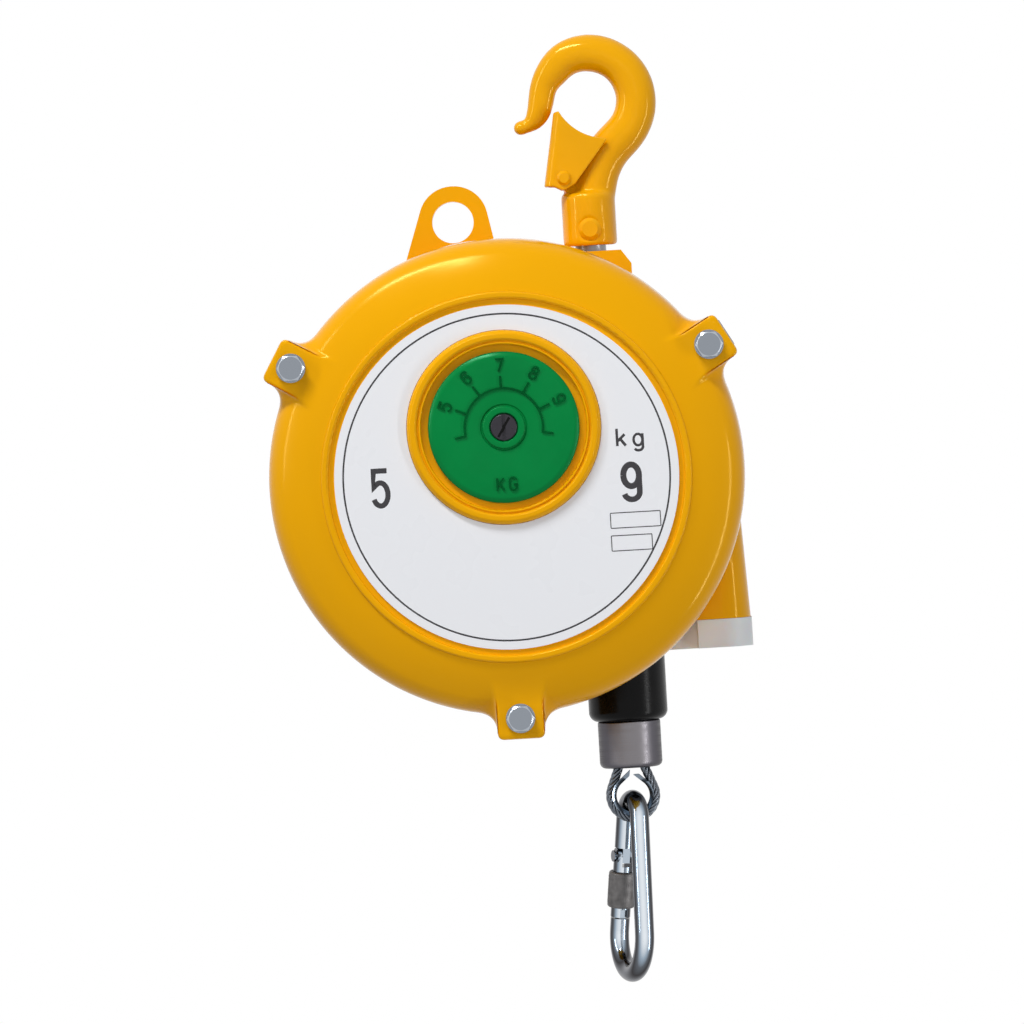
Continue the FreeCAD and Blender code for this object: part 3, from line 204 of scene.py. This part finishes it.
zinc.gloss(zinc.noise(60, 2), 0.18, 0.24).bump(zinc.noise(230, 2), 0.5, 0.0004)
chrome = Mat("zinc_polished", srgb(205, 210, 216), 0.1, 1.0)
# Painted reflection: light and dark bands by the angle to the eye stand in for the surroundings mirrored in the
# polished zinc.
chrome.facing([(0.0, srgb(226, 232, 238)), (0.12, srgb(150, 166, 182)), (0.25, srgb(92, 96, 102)),
               (0.45, srgb(52, 50, 52)), (0.7, srgb(104, 106, 112)), (0.85, srgb(48, 46, 48)),
               (1.0, srgb(130, 134, 140))])
chrome.gloss(chrome.noise(180, 3), 0.07, 0.18).bump(chrome.noise(350, 3), 0.12, 0.0001)
turned = Mat("turned_alloy", srgb(120, 118, 120), 0.35, 1.0)
# Painted reflection: darker towards edges seen edge-on, standing in for a dark room mirrored on the drum and
# ferrule.
turned.facing([(0.0, srgb(128, 125, 128)), (0.3, srgb(92, 90, 96)), (1.0, srgb(48, 44, 46))])
turned.gloss(turned.noise(60, 3, (0.4, 0.4, 30)), 0.28, 0.45)
turned.bump(turned.noise(90, 2, (0.3, 0.3, 40)), 0.15, 0.0001)
NYLON = srgb(238, 240, 242)
nylon = Mat("nylon_milky", NYLON, 0.38, Specular_IOR_Level=0.3, Subsurface_Weight=0.25, Subsurface_Scale=0.004)
nylon.tint(nylon.noise(30, 3), [(0.3, shade(NYLON, 0.93)), (0.7, NYLON)])
nylon.gloss(nylon.noise(150, 2), 0.34, 0.46)
STEEL = srgb(150, 150, 152)
steel = Mat("steel_turned", STEEL, 0.32, 1.0)
steel.tint(steel.noise(80, 4), [(0.3, shade(STEEL, 0.75)), (0.7, STEEL)])
steel.gloss(steel.noise(140, 3), 0.25, 0.42)
BRONZE = srgb(176, 130, 72)
bronze = Mat("bronze", BRONZE, 0.35, 1.0)
bronze.tint(bronze.noise(90, 4), [(0.3, shade(BRONZE, 0.8)), (0.7, BRONZE)])
ROPE = srgb(112, 118, 126)
rope = Mat("rope_wire", ROPE, 0.2, 1.0)
rope.tint(rope.noise(500, 3), [(0.3, shade(ROPE, 0.6)), (0.7, ROPE)])
rope.gloss(rope.noise(700, 2), 0.15, 0.35)

DULL = srgb(120, 118, 118)
dull = Mat("knurl_dull", DULL, 0.5, 0.9)
dull.tint(dull.noise(300, 4), [(0.3, shade(DULL, 0.6)), (0.7, DULL)])
dull.gloss(dull.noise(400, 2), 0.42, 0.6).bump(dull.noise(900, 3), 0.3, 0.0001)

FINISH = {
    "yellow_paint": paint, "hook_paint": hook_paint, "label_white": label, "zinc": zinc,
    "green_plastic": green, "black_screw": oxide, "nylon": nylon, "black_rubber": black,
    "steel": steel, "spring_steel": oxide, "bronze": bronze, "cast_drum": turned,
    "ferrule_metal": turned, "wire_rope": rope, "bright_zinc": chrome,
}


# --- pieces -----------------------------------------------------------------------
SLOTS = {s["node"]: s["material_slot"] for s in frame["record"]["subparts"]}
JOINTS = {j["name"]: j for j in frame["record"]["behaviour"]["joints"]}
COVER, LUG_HIGH, LUG_HALF, LUG_END = 98.2, 35.6, 9.75, 107.5  # radius; lug height, half width, reach
SHOULDER, FACE = 76.0, 40.2  # inner end of the dome: radius and height
BOLT_RING, BOLT_HOLE = 98.9, 3.6  # bolt circle and the largest reach of a bolt's bore
DIAL = (0, 20.4)
RING_IN, RING_OUT, RING_FOOT = 33.8, 39.9, 40.35  # CAD faces of the dial ring that are made anew
PRINT_Y, DIAL_Y, SCREW_Y = -40.43, -41.6, -42.71
MARK_IN, MARK_MID, MARK_OUT = 16, 18.5, 21  # dial ticks
NUMERAL_TURNS = (157.2, 124.2, 91, 57.8, 24)
LATCH_HOLLOW = (49.96, 30, 160, 22.6, 14)  # bar that cuts the latch's upper edge: x, y, z, radius, half
HOOK_CELL, LATCH_CELL = 0.0007, 0.00045  # metres


def piece(name, points, faces, body, slot, stands_for=(), smooth=True):
    """Object from points in mm about the shaft, riding a CAD body."""
    mesh = bpy.data.meshes.new(name)
    mesh.from_pydata([at(*p) for p in points], [], faces)
    bm = bmesh.new()
    bm.from_mesh(mesh)
    bmesh.ops.recalc_face_normals(bm, faces=bm.faces)
    bm.to_mesh(mesh)
    bm.free()
    return adopt(name, mesh, body, slot, stands_for, smooth)


def adopt(name, mesh, body, slot, stands_for=(), smooth=True):
    """Object for a finished mesh, with its body, slot and the CAD nodes that it stands for."""
    mesh.polygons.foreach_set("use_smooth", [smooth] * len(mesh.polygons))
    obj = bpy.data.objects.new(name, mesh)
    scene.collection.objects.link(obj)
    mesh.materials.clear()
    mesh.materials.append(FINISH[slot].mat)
    if body:
        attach(obj, body)
    if stands_for:
        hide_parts(*stands_for)
    return obj


def crease(bm, angle=32):
    """Keep edges crisp where two faces meet at more than this angle."""
    for edge in bm.edges:
        if len(edge.link_faces) == 2:
            edge.smooth = edge.calc_face_angle(0) < math.radians(angle)


def grid_faces(rows, columns, first=0, ring=True):
    """Quads between rows of points; each row closes on itself if ring."""
    faces = []
    for i in range(rows - 1):
        for j in range(columns if ring else columns - 1):
            k = (j + 1) % columns
            faces.append(tuple(first + n for n in (
                i * columns + j, i * columns + k, (i + 1) * columns + k, (i + 1) * columns + j)))
    return faces


def soft_max(a, b, k):
    h = np.maximum(k - np.abs(a - b), 0) / k
    return np.maximum(a, b) + h * h * k / 4


def soft_min(a, b, k):
    return -soft_max(-a, -b, k)


def cover_field(r, h, turn):
    """Signed distance to the domed cover with its three lugs, blended like a casting."""
    wall = ((r - COVER) * 31 + h * 0.8) / 31.01
    outer = ((r - 86) * 6 + (h - 37) * 11.4) / 12.88
    inner = ((r - SHOULDER) * 3.2 + (h - FACE) * 10) / 10.5
    dome = soft_max(soft_max(outer, inner, 1.2), wall, 6.5)
    third = 2 * math.pi / 3
    lean = (turn + third / 2) % third - third / 2
    plan = soft_max(np.abs(r * np.sin(lean)) - LUG_HALF, r * np.cos(lean) - LUG_END, 3)
    lug = soft_max(plan, h - LUG_HIGH, 1.5)
    low = np.clip((34 - h) / 6, 0, 1)
    return soft_min(dome, lug, 2.6 + 5.4 * low * low * (3 - 2 * low))


def cover_skin():
    """Front of the cover as rings of points, traced outwards from a ring inside the wall."""
    near = np.arange(-10, 10, 0.2)
    far = np.arange(10, 110, 0.8)
    turns = np.radians(np.concatenate([lug + part for lug in (0, 120, 240) for part in (near, far)]))
    heart_r, heart_h, steps = 84.0, 22.0, 96
    foot_halvings, reach_halvings = 26, 28
    foot = np.full_like(turns, 0.0)
    low, high = np.full_like(turns, 90.0), np.full_like(turns, 120.0)
    for _ in range(foot_halvings):
        foot = (low + high) / 2
        inside = cover_field(foot, 0.0, turns) < 0
        low, high = np.where(inside, foot, low), np.where(inside, high, foot)
    first = math.atan2(FACE - heart_h, SHOULDER - heart_r)
    last = np.arctan2(-heart_h, foot - heart_r)
    share = np.linspace(0, 1, steps)[:, None]
    angle = first + (last[None, :] - first) * share
    low, high = np.zeros_like(angle), np.full_like(angle, 48.0)
    for _ in range(reach_halvings):
        reach = (low + high) / 2
        inside = cover_field(heart_r + reach * np.cos(angle), heart_h + reach * np.sin(angle), turns) < 0
        low, high = np.where(inside, reach, low), np.where(inside, high, reach)
    r, h = heart_r + low * np.cos(angle), heart_h + low * np.sin(angle)
    x, z = r * np.sin(turns), -r * np.cos(turns)
    points = np.stack([x, -h, z], axis=-1).reshape(-1, 3)
    return points, grid_faces(steps, len(turns))


def turned_rows(centre, profile, count=160):
    """Rings of points about an axis that faces the front, from (radius, height) pairs."""
    points = []
    for radius, height in profile:
        for i in range(count):
            a = 2 * math.pi * i / count
            points.append((centre[0] + radius * math.cos(a), -height, centre[1] + radius * math.sin(a)))
    return points, grid_faces(len(profile), count)


def rounded(corners, finer=5):
    """Profile whose corners given with a radius are rounded by arcs."""
    line = []
    for i, corner in enumerate(corners):
        here = Vector(corner[:2])
        if len(corner) < 3 or i in (0, len(corners) - 1):
            line.append(tuple(here))
            continue
        back = (Vector(corners[i - 1][:2]) - here).normalized()
        ahead = (Vector(corners[i + 1][:2]) - here).normalized()
        half = back.angle(ahead) / 2
        reach = corner[2] / math.tan(half)
        heart = here + (back + ahead).normalized() * corner[2] / math.sin(half)
        first, last = here + back * reach - heart, here + ahead * reach - heart
        for k in range(finer + 1):
            line.append(tuple(heart + first.slerp(last, k / finer).normalized() * corner[2]))
    return line


RING = [(39.75, 40.3), (39.5, 41.6, 0.9), (38.2, 43.0, 0.9), (36.4, 43.0, 0.5), (35.7, 42.3, 0.2),
        (35.5, 41.5, 0.15), (35.0, 41.5, 0.15), (34.8, 42.1, 0.2), (34.2, 42.1, 0.3), (33.85, 41.2, 0.2),
        (33.85, 38.75)]
DISH = [(4.2, 39.3), (31.0, 39.3, 0.2), (31.0, 40.6, 1.0), (29.0, 41.6, 2.5), (24, 41.72, 3), (9.6, 41.6, 0.3),
        (9.2, 41.15, 0.2), (8.8, 41.15, 0.2), (8.55, 42.75, 0.5), (6.1, 42.75, 0.4), (5.75, 41.9)]


def dial_dish():
    """Moulded dial with a rolled edge, a shallow crown and a raised hub."""
    points, faces = turned_rows(DIAL, rounded(DISH))
    dish = piece("dial_dish", points, faces, "dial", SLOTS["dial"], ["dial"])
    bm = bmesh.new()
    bm.from_mesh(dish.data)
    crease(bm, 50)
    bm.to_mesh(dish.data)
    bm.free()
    slot = SLOTS["dial"]
    ribbon("dial_scale", circle_line(DIAL, MARK_IN, -10, 190), 1.0, DIAL_Y, 0.75, "dial", slot,
           closed=False, mat=marks_painted_shade.mat)
    for k, turn in enumerate(NUMERAL_TURNS):
        c, s = math.cos(math.radians(turn)), math.sin(math.radians(turn))
        line = [(DIAL[0] + r * c, DIAL[1] + r * s) for r in (MARK_IN, MARK_MID, MARK_OUT)]
        ribbon("dial_tick_%d" % k, line, 1.0, DIAL_Y, 0.73, "dial", slot,
               closed=False, mat=marks_painted_shade.mat)


def cover():
    """The CAD cover with its outer skin traced again, so that the lugs flow into the dome."""
    bm = bmesh.new()
    bm.from_mesh(frame["nodes"]["front_cover"].data)
    bm.transform(frame["nodes"]["front_cover"].matrix_world)
    gone = []
    for face in bm.faces:
        mid = (face.calc_center_median() - SHAFT) / MM
        reach = math.hypot(mid.x, mid.z)
        turn = math.atan2(mid.x, -mid.z)
        lean = (turn + math.pi / 3) % (2 * math.pi / 3) - math.pi / 3
        bore = math.hypot(reach * math.sin(lean), reach * math.cos(lean) - BOLT_RING) < BOLT_HOLE
        outward = face.normal.x * mid.x + face.normal.z * mid.z > 0.3 * reach or face.normal.y < -0.3
        off_dial = math.hypot(mid.x - DIAL[0], mid.z - DIAL[1])
        ring = RING_IN < off_dial < RING_OUT and -mid.y > RING_FOOT
        if reach > SHOULDER and outward and not bore or ring:
            gone.append(face)
    bmesh.ops.delete(bm, geom=gone, context="FACES")
    fresh = []
    for points, faces in (cover_skin(), turned_rows(DIAL, rounded(RING))):
        made = [bm.verts.new(at(*p)) for p in points]
        fresh += [bm.faces.new([made[i] for i in face]) for face in faces]
    bmesh.ops.recalc_face_normals(bm, faces=fresh)
    crease(bm)
    mesh = bpy.data.meshes.new("cover_casting")
    bm.to_mesh(mesh)
    bm.free()
    return adopt("cover_casting", mesh, "housing", SLOTS["front_cover"], ["front_cover"])


def ribbon(name, line, wide, y, raise_by, body, slot, closed=True, mat=None):
    """Thin raised band along a line of (x, z) points."""
    points, faces = band(line, wide, y, raise_by, closed)
    return repaint(piece(name, points, faces, body, slot, smooth=False), mat)


def oval(x, z, wide, tall, start, end, step=12):
    """Part of an oval in a character's unit box."""
    count = max(3, round(abs(end - start) / step))
    turns = [math.radians(start + (end - start) * i / count) for i in range(count + 1)]
    return [(x + wide * math.cos(t), z + tall * math.sin(t)) for t in turns]


SIX = [oval(0.5, 0.78, 0.45, 0.22, 15, 180) + [(0.05, 0.31)], oval(0.5, 0.31, 0.45, 0.31, 0, 360)]
GLYPHS = {
    "5": [[(0.93, 1), (0.1, 1), (0.06, 0.52)] + oval(0.48, 0.33, 0.46, 0.33, 130, -155)],
    "6": SIX,
    "7": [[(0.04, 1), (0.94, 1), (0.36, 0)]],
    "8": [oval(0.5, 0.76, 0.4, 0.24, 90, 450), oval(0.5, 0.27, 0.46, 0.27, 90, 450)],
    "9": [[(1 - x, 1 - z) for x, z in path] for path in SIX],
    "K": [[(0.08, 0), (0.08, 1)], [(0.92, 1), (0.12, 0.42)], [(0.36, 0.6), (0.96, 0)]],
    "G": [oval(0.5, 0.72, 0.45, 0.28, 15, 180) + oval(0.5, 0.28, 0.45, 0.28, 180, 360)
          + [(0.95, 0.46), (0.56, 0.46)]],
    "k": [[(0.1, 0), (0.1, 1)], [(0.84, 0.66), (0.16, 0.28)], [(0.38, 0.42), (0.9, 0)]],
    "g": [oval(0.46, 0.34, 0.4, 0.32, 90, 450),
          [(0.88, 0.68), (0.88, 0)] + oval(0.48, -0.06, 0.4, 0.2, 0, -150)],
}


def letter(name, text, wide, tall, stroke, centre, y, turn, raise_by, body, slot, mat=None):
    """One character drawn with strokes of even width, raised from a plane facing the front."""
    c, s = math.cos(turn), math.sin(turn)
    points, faces = [], []
    for k, path in enumerate(GLYPHS[text]):
        line = []
        for a, b in path:
            a, b = (a - 0.5) * (wide - stroke), (b - 0.5) * (tall - stroke)
            line.append((centre[0] + a * c - b * s, centre[1] + a * s + b * c))
        stroke_points, stroke_faces = band(line, stroke, y - 0.02 * k, raise_by, False)
        faces += [tuple(i + len(points) for i in face) for face in stroke_faces]
        points += stroke_points
    return repaint(piece(name, points, faces, body, slot, smooth=False), mat)


def repaint(obj, mat):
    """Give a piece another material than its slot's, if one is named."""
    if mat:
        obj.data.materials[0] = mat
    return obj


def band(line, wide, y, raise_by, closed):
    """Points and faces of a flat-topped band along a line of (x, z) points."""
    count = len(line)
    points = []
    for i, (x, z) in enumerate(line):
        here = Vector((x, z))
        ahead = Vector(line[(i + 1) % count]) - here if closed or i < count - 1 else here - Vector(line[i - 1])
        back = here - Vector(line[i - 1]) if closed or i else ahead
        ahead, back = ahead.normalized(), back.normalized()
        along = (ahead + back).normalized()
        side = Vector((-along.y, along.x)) * wide / 2 / max(0.5, along.dot(ahead))
        for sign, depth in ((-1, -0.05), (-0.7, raise_by), (0.7, raise_by), (1, -0.05)):
            points.append((x + side.x * sign, y - depth, z + side.y * sign))
    faces = grid_faces(count, 4)
    if closed:
        faces += [(4 * (count - 1) + j, 4 * (count - 1) + (j + 1) % 4, (j + 1) % 4, j) for j in range(4)]
    else:
        faces += [(3, 2, 1, 0), tuple(4 * (count - 1) + j for j in range(4))]
    return points, faces


def circle_line(centre, radius, start=0, end=360, step=2):
    """Points of a circle or of a part of it; a whole one doesn't repeat its first point."""
    count = max(2, round(abs(end - start) / step))
    turns = [math.radians(start + (end - start) * i / count) for i in range(count + (end - start != 360))]
    return [(centre[0] + radius * math.cos(t), centre[1] + radius * math.sin(t)) for t in turns]


def box_line(x, z, wide, tall):
    """Rectangle outline with tight corners."""
    line = []
    for sx, sz, first in ((1, 1, 0), (-1, 1, 90), (-1, -1, 180), (1, -1, 270)):
        line += circle_line((x + sx * (wide / 2 - 0.3), z + sz * (tall / 2 - 0.3)), 0.3, first, first + 90, 30)
    return line


def painted_slot_shade():
    """Painted shade of a driver slot: a near-black strip laid across the dial's dark screw."""
    c, s = math.cos(math.radians(58)), math.sin(math.radians(58))
    line = [(DIAL[0] + r * c, DIAL[1] + r * s) for r in (-4.6, 0, 4.6)]
    # Painted shade: a near-black strip raised 0.02 mm stands in for the shade inside a slot, and nothing is
    # cut.
    ribbon("dial_painted_slot_shade", line, 1.2, SCREW_Y, 0.02, "dial", SLOTS["dial_screw"],
           closed=False, mat=black.mat)


def label_print():
    """Generic scale ends, unit and two blank boxes, with the fine outer line."""
    slot = SLOTS["label_plate"]
    ribbon("label_ring", circle_line((0, 0), 66.8), 0.75, PRINT_Y, 0.05, "housing", slot, mat=ink.mat)
    letter("low_end", "5", 8.9, 16.6, 2.3, (-51.7, -1.7), PRINT_Y, 0, 0.05, "housing", slot, ink.mat)
    letter("high_end", "9", 9.6, 16.8, 2.5, (50.8, -4.9), PRINT_Y, 0, 0.05, "housing", slot, ink.mat)
    letter("unit_k", "k", 5.4, 8.2, 1.15, (47.6, 13.6), PRINT_Y, 0, 0.05, "housing", slot, ink.mat)
    letter("unit_g", "g", 5.6, 8.4, 1.1, (54.6, 13.4), PRINT_Y, 0, 0.05, "housing", slot, ink.mat)
    for name, x, z, wide in (("box_upper", 51.6, -20.3, 20.4), ("box_lower", 49.6, -29.6, 16.6)):
        ribbon(name, box_line(x, z, wide, 6.2), 0.4, PRINT_Y, 0.05, "housing", slot, mat=ink.mat)


def dial_marks():
    """Raised numerals, end marks and unit on the dial's face, in a darker green that paints their shade."""
    slot = SLOTS["dial"]
    for text, turn in zip("56789", NUMERAL_TURNS):
        a = math.radians(turn)
        spot = DIAL[0] + 25.4 * math.cos(a), DIAL[1] + 25.4 * math.sin(a)
        letter("numeral_" + text, text, 4.1, 6.0, 0.95, spot, DIAL_Y, a - math.pi / 2, 0.75, "dial", slot,
               marks_painted_shade.mat)
    for text, x in (("K", -2.6), ("G", 2.6)):
        spot = DIAL[0] + x, DIAL[1] - 23.2
        letter("dial_unit_" + text, text, 4.2, 6, 0.95, spot, DIAL_Y, 0, 0.75, "dial", slot, marks_painted_shade.mat)
    for name, turn in (("left", 190), ("right", -10)):
        a = math.radians(turn)
        line = [(DIAL[0] + r * math.cos(a), DIAL[1] + r * math.sin(a)) for r in (15.8, 18, 20.4)]
        ribbon("end_mark_" + name, line, 1.0, DIAL_Y, 0.72, "dial", slot,
               closed=False, mat=marks_painted_shade.mat)


def strands(name, line, count, lay, thick, pitch, body, slot, stands_for, finer=7):
    """Twisted rope: round strands wound about a flat line of points in mm."""
    points, faces, run = [], [], [0.0]
    for a, b in zip(line, line[1:]):
        run.append(run[-1] + (b - a).length)
    for k in range(count):
        first = len(points)
        centres = []
        for i, spot in enumerate(line):
            along = (line[min(i + 1, len(line) - 1)] - line[max(i - 1, 0)]).normalized()
            across = along.cross(Vector((0, 1, 0))).normalized()
            turn = 2 * math.pi * (run[i] / pitch + k / count)
            centres.append((spot + (Vector((0, 1, 0)) * math.cos(turn) + across * math.sin(turn)) * lay, along))
        for i, (spot, _) in enumerate(centres):
            flow = (centres[min(i + 1, len(line) - 1)][0] - centres[max(i - 1, 0)][0]).normalized()
            side = flow.cross(Vector((0, 1, 0.01))).normalized()
            lift = side.cross(flow)
            for j in range(finer):
                a = 2 * math.pi * j / finer
                points.append(spot + (side * math.cos(a) + lift * math.sin(a)) * thick)
        faces += grid_faces(len(line), finer, first)
        faces.append(tuple(first + j for j in range(finer)))
        faces.append(tuple(first + (len(line) - 1) * finer + j for j in reversed(range(finer))))
    return piece(name, points, faces, body, slot, stands_for)


ROPE_X, ROPE_Y, FERRULE_LOW, EYE_LOW, EYE_R = 44.5, 27.0, -124.0, -147.0, 9.3


def rope_pieces():
    """Strands of the eye round the thimble, and of the straight run that stretches."""
    centre = EYE_LOW + 2 + EYE_R
    top, neck = FERRULE_LOW + 7.5, 2.4
    reach = top - centre
    turn = math.atan2(neck, reach) + math.acos(EYE_R / math.hypot(reach, neck))
    arc = [Vector((ROPE_X + EYE_R * math.sin(a), ROPE_Y, centre + EYE_R * math.cos(a)))
           for a in [turn + (2 * math.pi - 2 * turn) * i / 72 for i in range(73)]]
    ends = Vector((ROPE_X + neck, ROPE_Y, top)), Vector((ROPE_X - neck, ROPE_Y, top))
    leg_in = [ends[0].lerp(arc[0], i / 24) for i in range(24)]
    leg_out = [arc[-1].lerp(ends[1], (i + 1) / 24) for i in range(24)]
    strands("eye_strands", leg_in + arc + leg_out, 6, 1.24, 0.74, 15, "load", SLOTS["rope_eye"], ["rope_eye"])
    line = [Vector((ROPE_X, ROPE_Y, -0.4 - i * 0.9)) for i in range(128)]
    run = strands("run_strands", line, 6, 1.5, 0.8, 17, None, SLOTS["rope_run"], ["rope_run"], 6)
    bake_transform(run)


def knurled_sleeve():
    """Locking sleeve with a diamond knurl between two plain collars."""
    joint = JOINTS["sleeve_travel"]
    node = frame["nodes"]["lock_sleeve"]
    spots = [node.matrix_world @ v.co for v in node.data.vertices]
    down = Vector(joint["axis"]).normalized()
    middle = sum(spots, Vector()) / len(spots)
    reach = [(p - middle).dot(down) for p in spots]
    low, high = min(reach), max(reach)
    side = down.cross(Vector((0, 1, 0))).normalized()
    lift = down.cross(side)
    rows, around = 44, 120
    points = []
    profile = [(0.0, 4.25), (0.0, 5.2), (0.03, 5.6)]
    profile += [(0.03 + 0.94 * i / rows, 5.72) for i in range(1, rows)]
    profile += [(0.97, 5.6), (1.0, 5.2), (1.0, 4.25), (0.5, 4.25)]
    for share, radius in profile:
        s = low + (high - low) * share
        for j in range(around):
            a = 2 * math.pi * j / around
            cut = 0.0
            if radius > 5.7 and 0.1 < share < 0.9:
                cut = 0.13 * math.cos(26 * a + s * 5200) * math.cos(26 * a - s * 5200)
            spot = middle + down * s + (side * math.cos(a) + lift * math.sin(a)) * (radius + cut) * MM
            points.append((spot - SHAFT) / MM)
    faces = grid_faces(len(profile), around)
    last = (len(profile) - 1) * around
    faces += [(last + j, last + (j + 1) % around, (j + 1) % around, j) for j in range(around)]
    obj = piece("knurled_sleeve", points, faces, "lock_sleeve", SLOTS["lock_sleeve"], ["lock_sleeve"])
    obj.data.materials[0] = dull.mat


def forged(name, source, body, cell, rounds, slot, cutter=None):
    """A CAD form meshed again in even cells and eased, so that its parts flow like a forging."""
    node = frame["nodes"][source]
    mesh = node.data.copy()
    mesh.transform(node.matrix_world)
    obj = bpy.data.objects.new(name + "_form", mesh)
    scene.collection.objects.link(obj)
    if cutter:
        bite = obj.modifiers.new("bite", "BOOLEAN")
        bite.operation, bite.object, bite.solver = "DIFFERENCE", cutter, "EXACT"
    cells = obj.modifiers.new("cells", "REMESH")
    cells.mode, cells.voxel_size = "VOXEL", cell
    ease = obj.modifiers.new("ease", "SMOOTH")
    ease.factor, ease.iterations = 0.5, rounds
    bpy.context.view_layer.update()
    made = bpy.data.meshes.new_from_object(obj.evaluated_get(bpy.context.evaluated_depsgraph_get()))
    made.name = name
    bpy.data.objects.remove(obj)
    if cutter:
        bpy.data.objects.remove(cutter)
    return adopt(name, made, body, slot, [source])


def bar(x, y, z, radius, half):
    """Round bar that faces the front, used to cut a hollow edge."""
    rows = [(0.01, half - y), (radius, half - y), (radius, -half - y), (0.01, -half - y)]
    points, faces = turned_rows((x, z), rows, 96)
    faces += [tuple(range(96)), tuple(range(3 * 96, 4 * 96))]
    mesh = bpy.data.meshes.new("bar")
    mesh.from_pydata([at(*p) for p in points], [], faces)
    bm = bmesh.new()
    bm.from_mesh(mesh)
    bmesh.ops.recalc_face_normals(bm, faces=bm.faces)
    bm.to_mesh(mesh)
    bm.free()
    obj = bpy.data.objects.new("bar", mesh)
    scene.collection.objects.link(obj)
    return obj


def dress():
    """Give every CAD node its own material, then add the finer pieces."""
    for name, obj in frame["nodes"].items():
        made = FINISH[SLOTS[name]].mat
        for slot in obj.material_slots:
            slot.material = made
    cover()
    label_print()
    dial_dish()
    dial_marks()
    painted_slot_shade()
    rope_pieces()
    knurled_sleeve()
    forged("hook_forging", "hook", "hook", HOOK_CELL, 14, SLOTS["hook"])
    forged("latch_pressing", "latch", "latch", LATCH_CELL, 3, SLOTS["latch"], bar(*LATCH_HOLLOW))


def seen(nodes, links, path, socket):
    """1 for rays that look, reflect or refract, 0 for rays that light the object."""
    one = nodes.new("ShaderNodeMath")
    two = nodes.new("ShaderNodeMath")
    for made in (one, two):
        made.operation = "MAXIMUM"
    links.new(path.outputs["Is Camera Ray"], one.inputs[0])
    links.new(path.outputs["Is Glossy Ray"], one.inputs[1])
    links.new(one.outputs[0], two.inputs[0])
    links.new(path.outputs["Is Transmission Ray"], two.inputs[1])
    links.new(two.outputs[0], socket)


FLOOR_Z = -1.95  # under the load at the end of the rope's travel
LAMP_AIM = Vector((-0.02, 0, -0.15))
LAMPS = (  # name, place in metres, watts, width, height
    ("key", (-0.8, -1.2, 1.9), 42, 1.3, 0.3), ("left", (-1.5, -0.9, 0.5), 6, 0.12, 1.2),
    ("right", (1.4, -0.8, -0.6), 7, 0.12, 1.2), ("front", (0.2, -2.4, 0.3), 8, 0.8, 0.8))


def studio():
    """Pale floor and backdrop that read white, plain soft lamps on the object."""
    stage_mat = bpy.data.materials.new("stage_white")
    stage_mat.use_nodes = True
    nodes, links = stage_mat.node_tree.nodes, stage_mat.node_tree.links
    nodes.clear()
    out = nodes.new("ShaderNodeOutputMaterial")
    mix = nodes.new("ShaderNodeMixShader")
    path = nodes.new("ShaderNodeLightPath")
    diffuse = nodes.new("ShaderNodeBsdfDiffuse")
    diffuse.inputs["Color"].default_value = (0.9, 0.9, 0.9, 1)
    glow = nodes.new("ShaderNodeEmission")
    glow.inputs["Strength"].default_value = 1.0
    seen(nodes, links, path, mix.inputs["Fac"])
    links.new(diffuse.outputs[0], mix.inputs[1])
    links.new(glow.outputs[0], mix.inputs[2])
    links.new(mix.outputs[0], out.inputs["Surface"])
    mesh = bpy.data.meshes.new("floor")
    mesh.from_pydata([(-3, -3, FLOOR_Z), (3, -3, FLOOR_Z), (3, 3, FLOOR_Z), (-3, 3, FLOOR_Z)], [],
                     [(0, 1, 2, 3)])
    floor = bpy.data.objects.new("floor", mesh)
    scene.collection.objects.link(floor)
    mesh.materials.append(stage_mat)
    world = bpy.data.worlds.new("studio")
    scene.world = world
    world.use_nodes = True
    nodes, links = world.node_tree.nodes, world.node_tree.links
    nodes.clear()
    out = nodes.new("ShaderNodeOutputWorld")
    mix = nodes.new("ShaderNodeMixShader")
    path = nodes.new("ShaderNodeLightPath")
    fill = nodes.new("ShaderNodeBackground")
    fill.inputs["Color"].default_value = (0.62, 0.64, 0.68, 1)
    fill.inputs["Strength"].default_value = 0.29
    white = nodes.new("ShaderNodeBackground")
    white.inputs["Color"].default_value = (1, 1, 1, 1)
    white.inputs["Strength"].default_value = 1.0
    seen(nodes, links, path, mix.inputs["Fac"])
    links.new(fill.outputs[0], mix.inputs[1])
    links.new(white.outputs[0], mix.inputs[2])
    links.new(mix.outputs[0], out.inputs["Surface"])
    for name, spot, power, wide, tall in LAMPS:
        lamp = bpy.data.lights.new(name, "AREA")
        lamp.shape = "RECTANGLE"
        lamp.size, lamp.size_y = wide, tall
        lamp.energy = power
        obj = bpy.data.objects.new(name, lamp)
        scene.collection.objects.link(obj)
        obj.location = spot
        aim = LAMP_AIM - Vector(spot)
        obj.rotation_euler = aim.to_track_quat("-Z", "Y").to_euler()
        obj.visible_glossy = name != "front"


look(at(1.25, -20, -14.65), distance=4.0, azimuth=0.3, pitch=0.8, roll=-3.3, wide=0.4205)
studio()
dress()
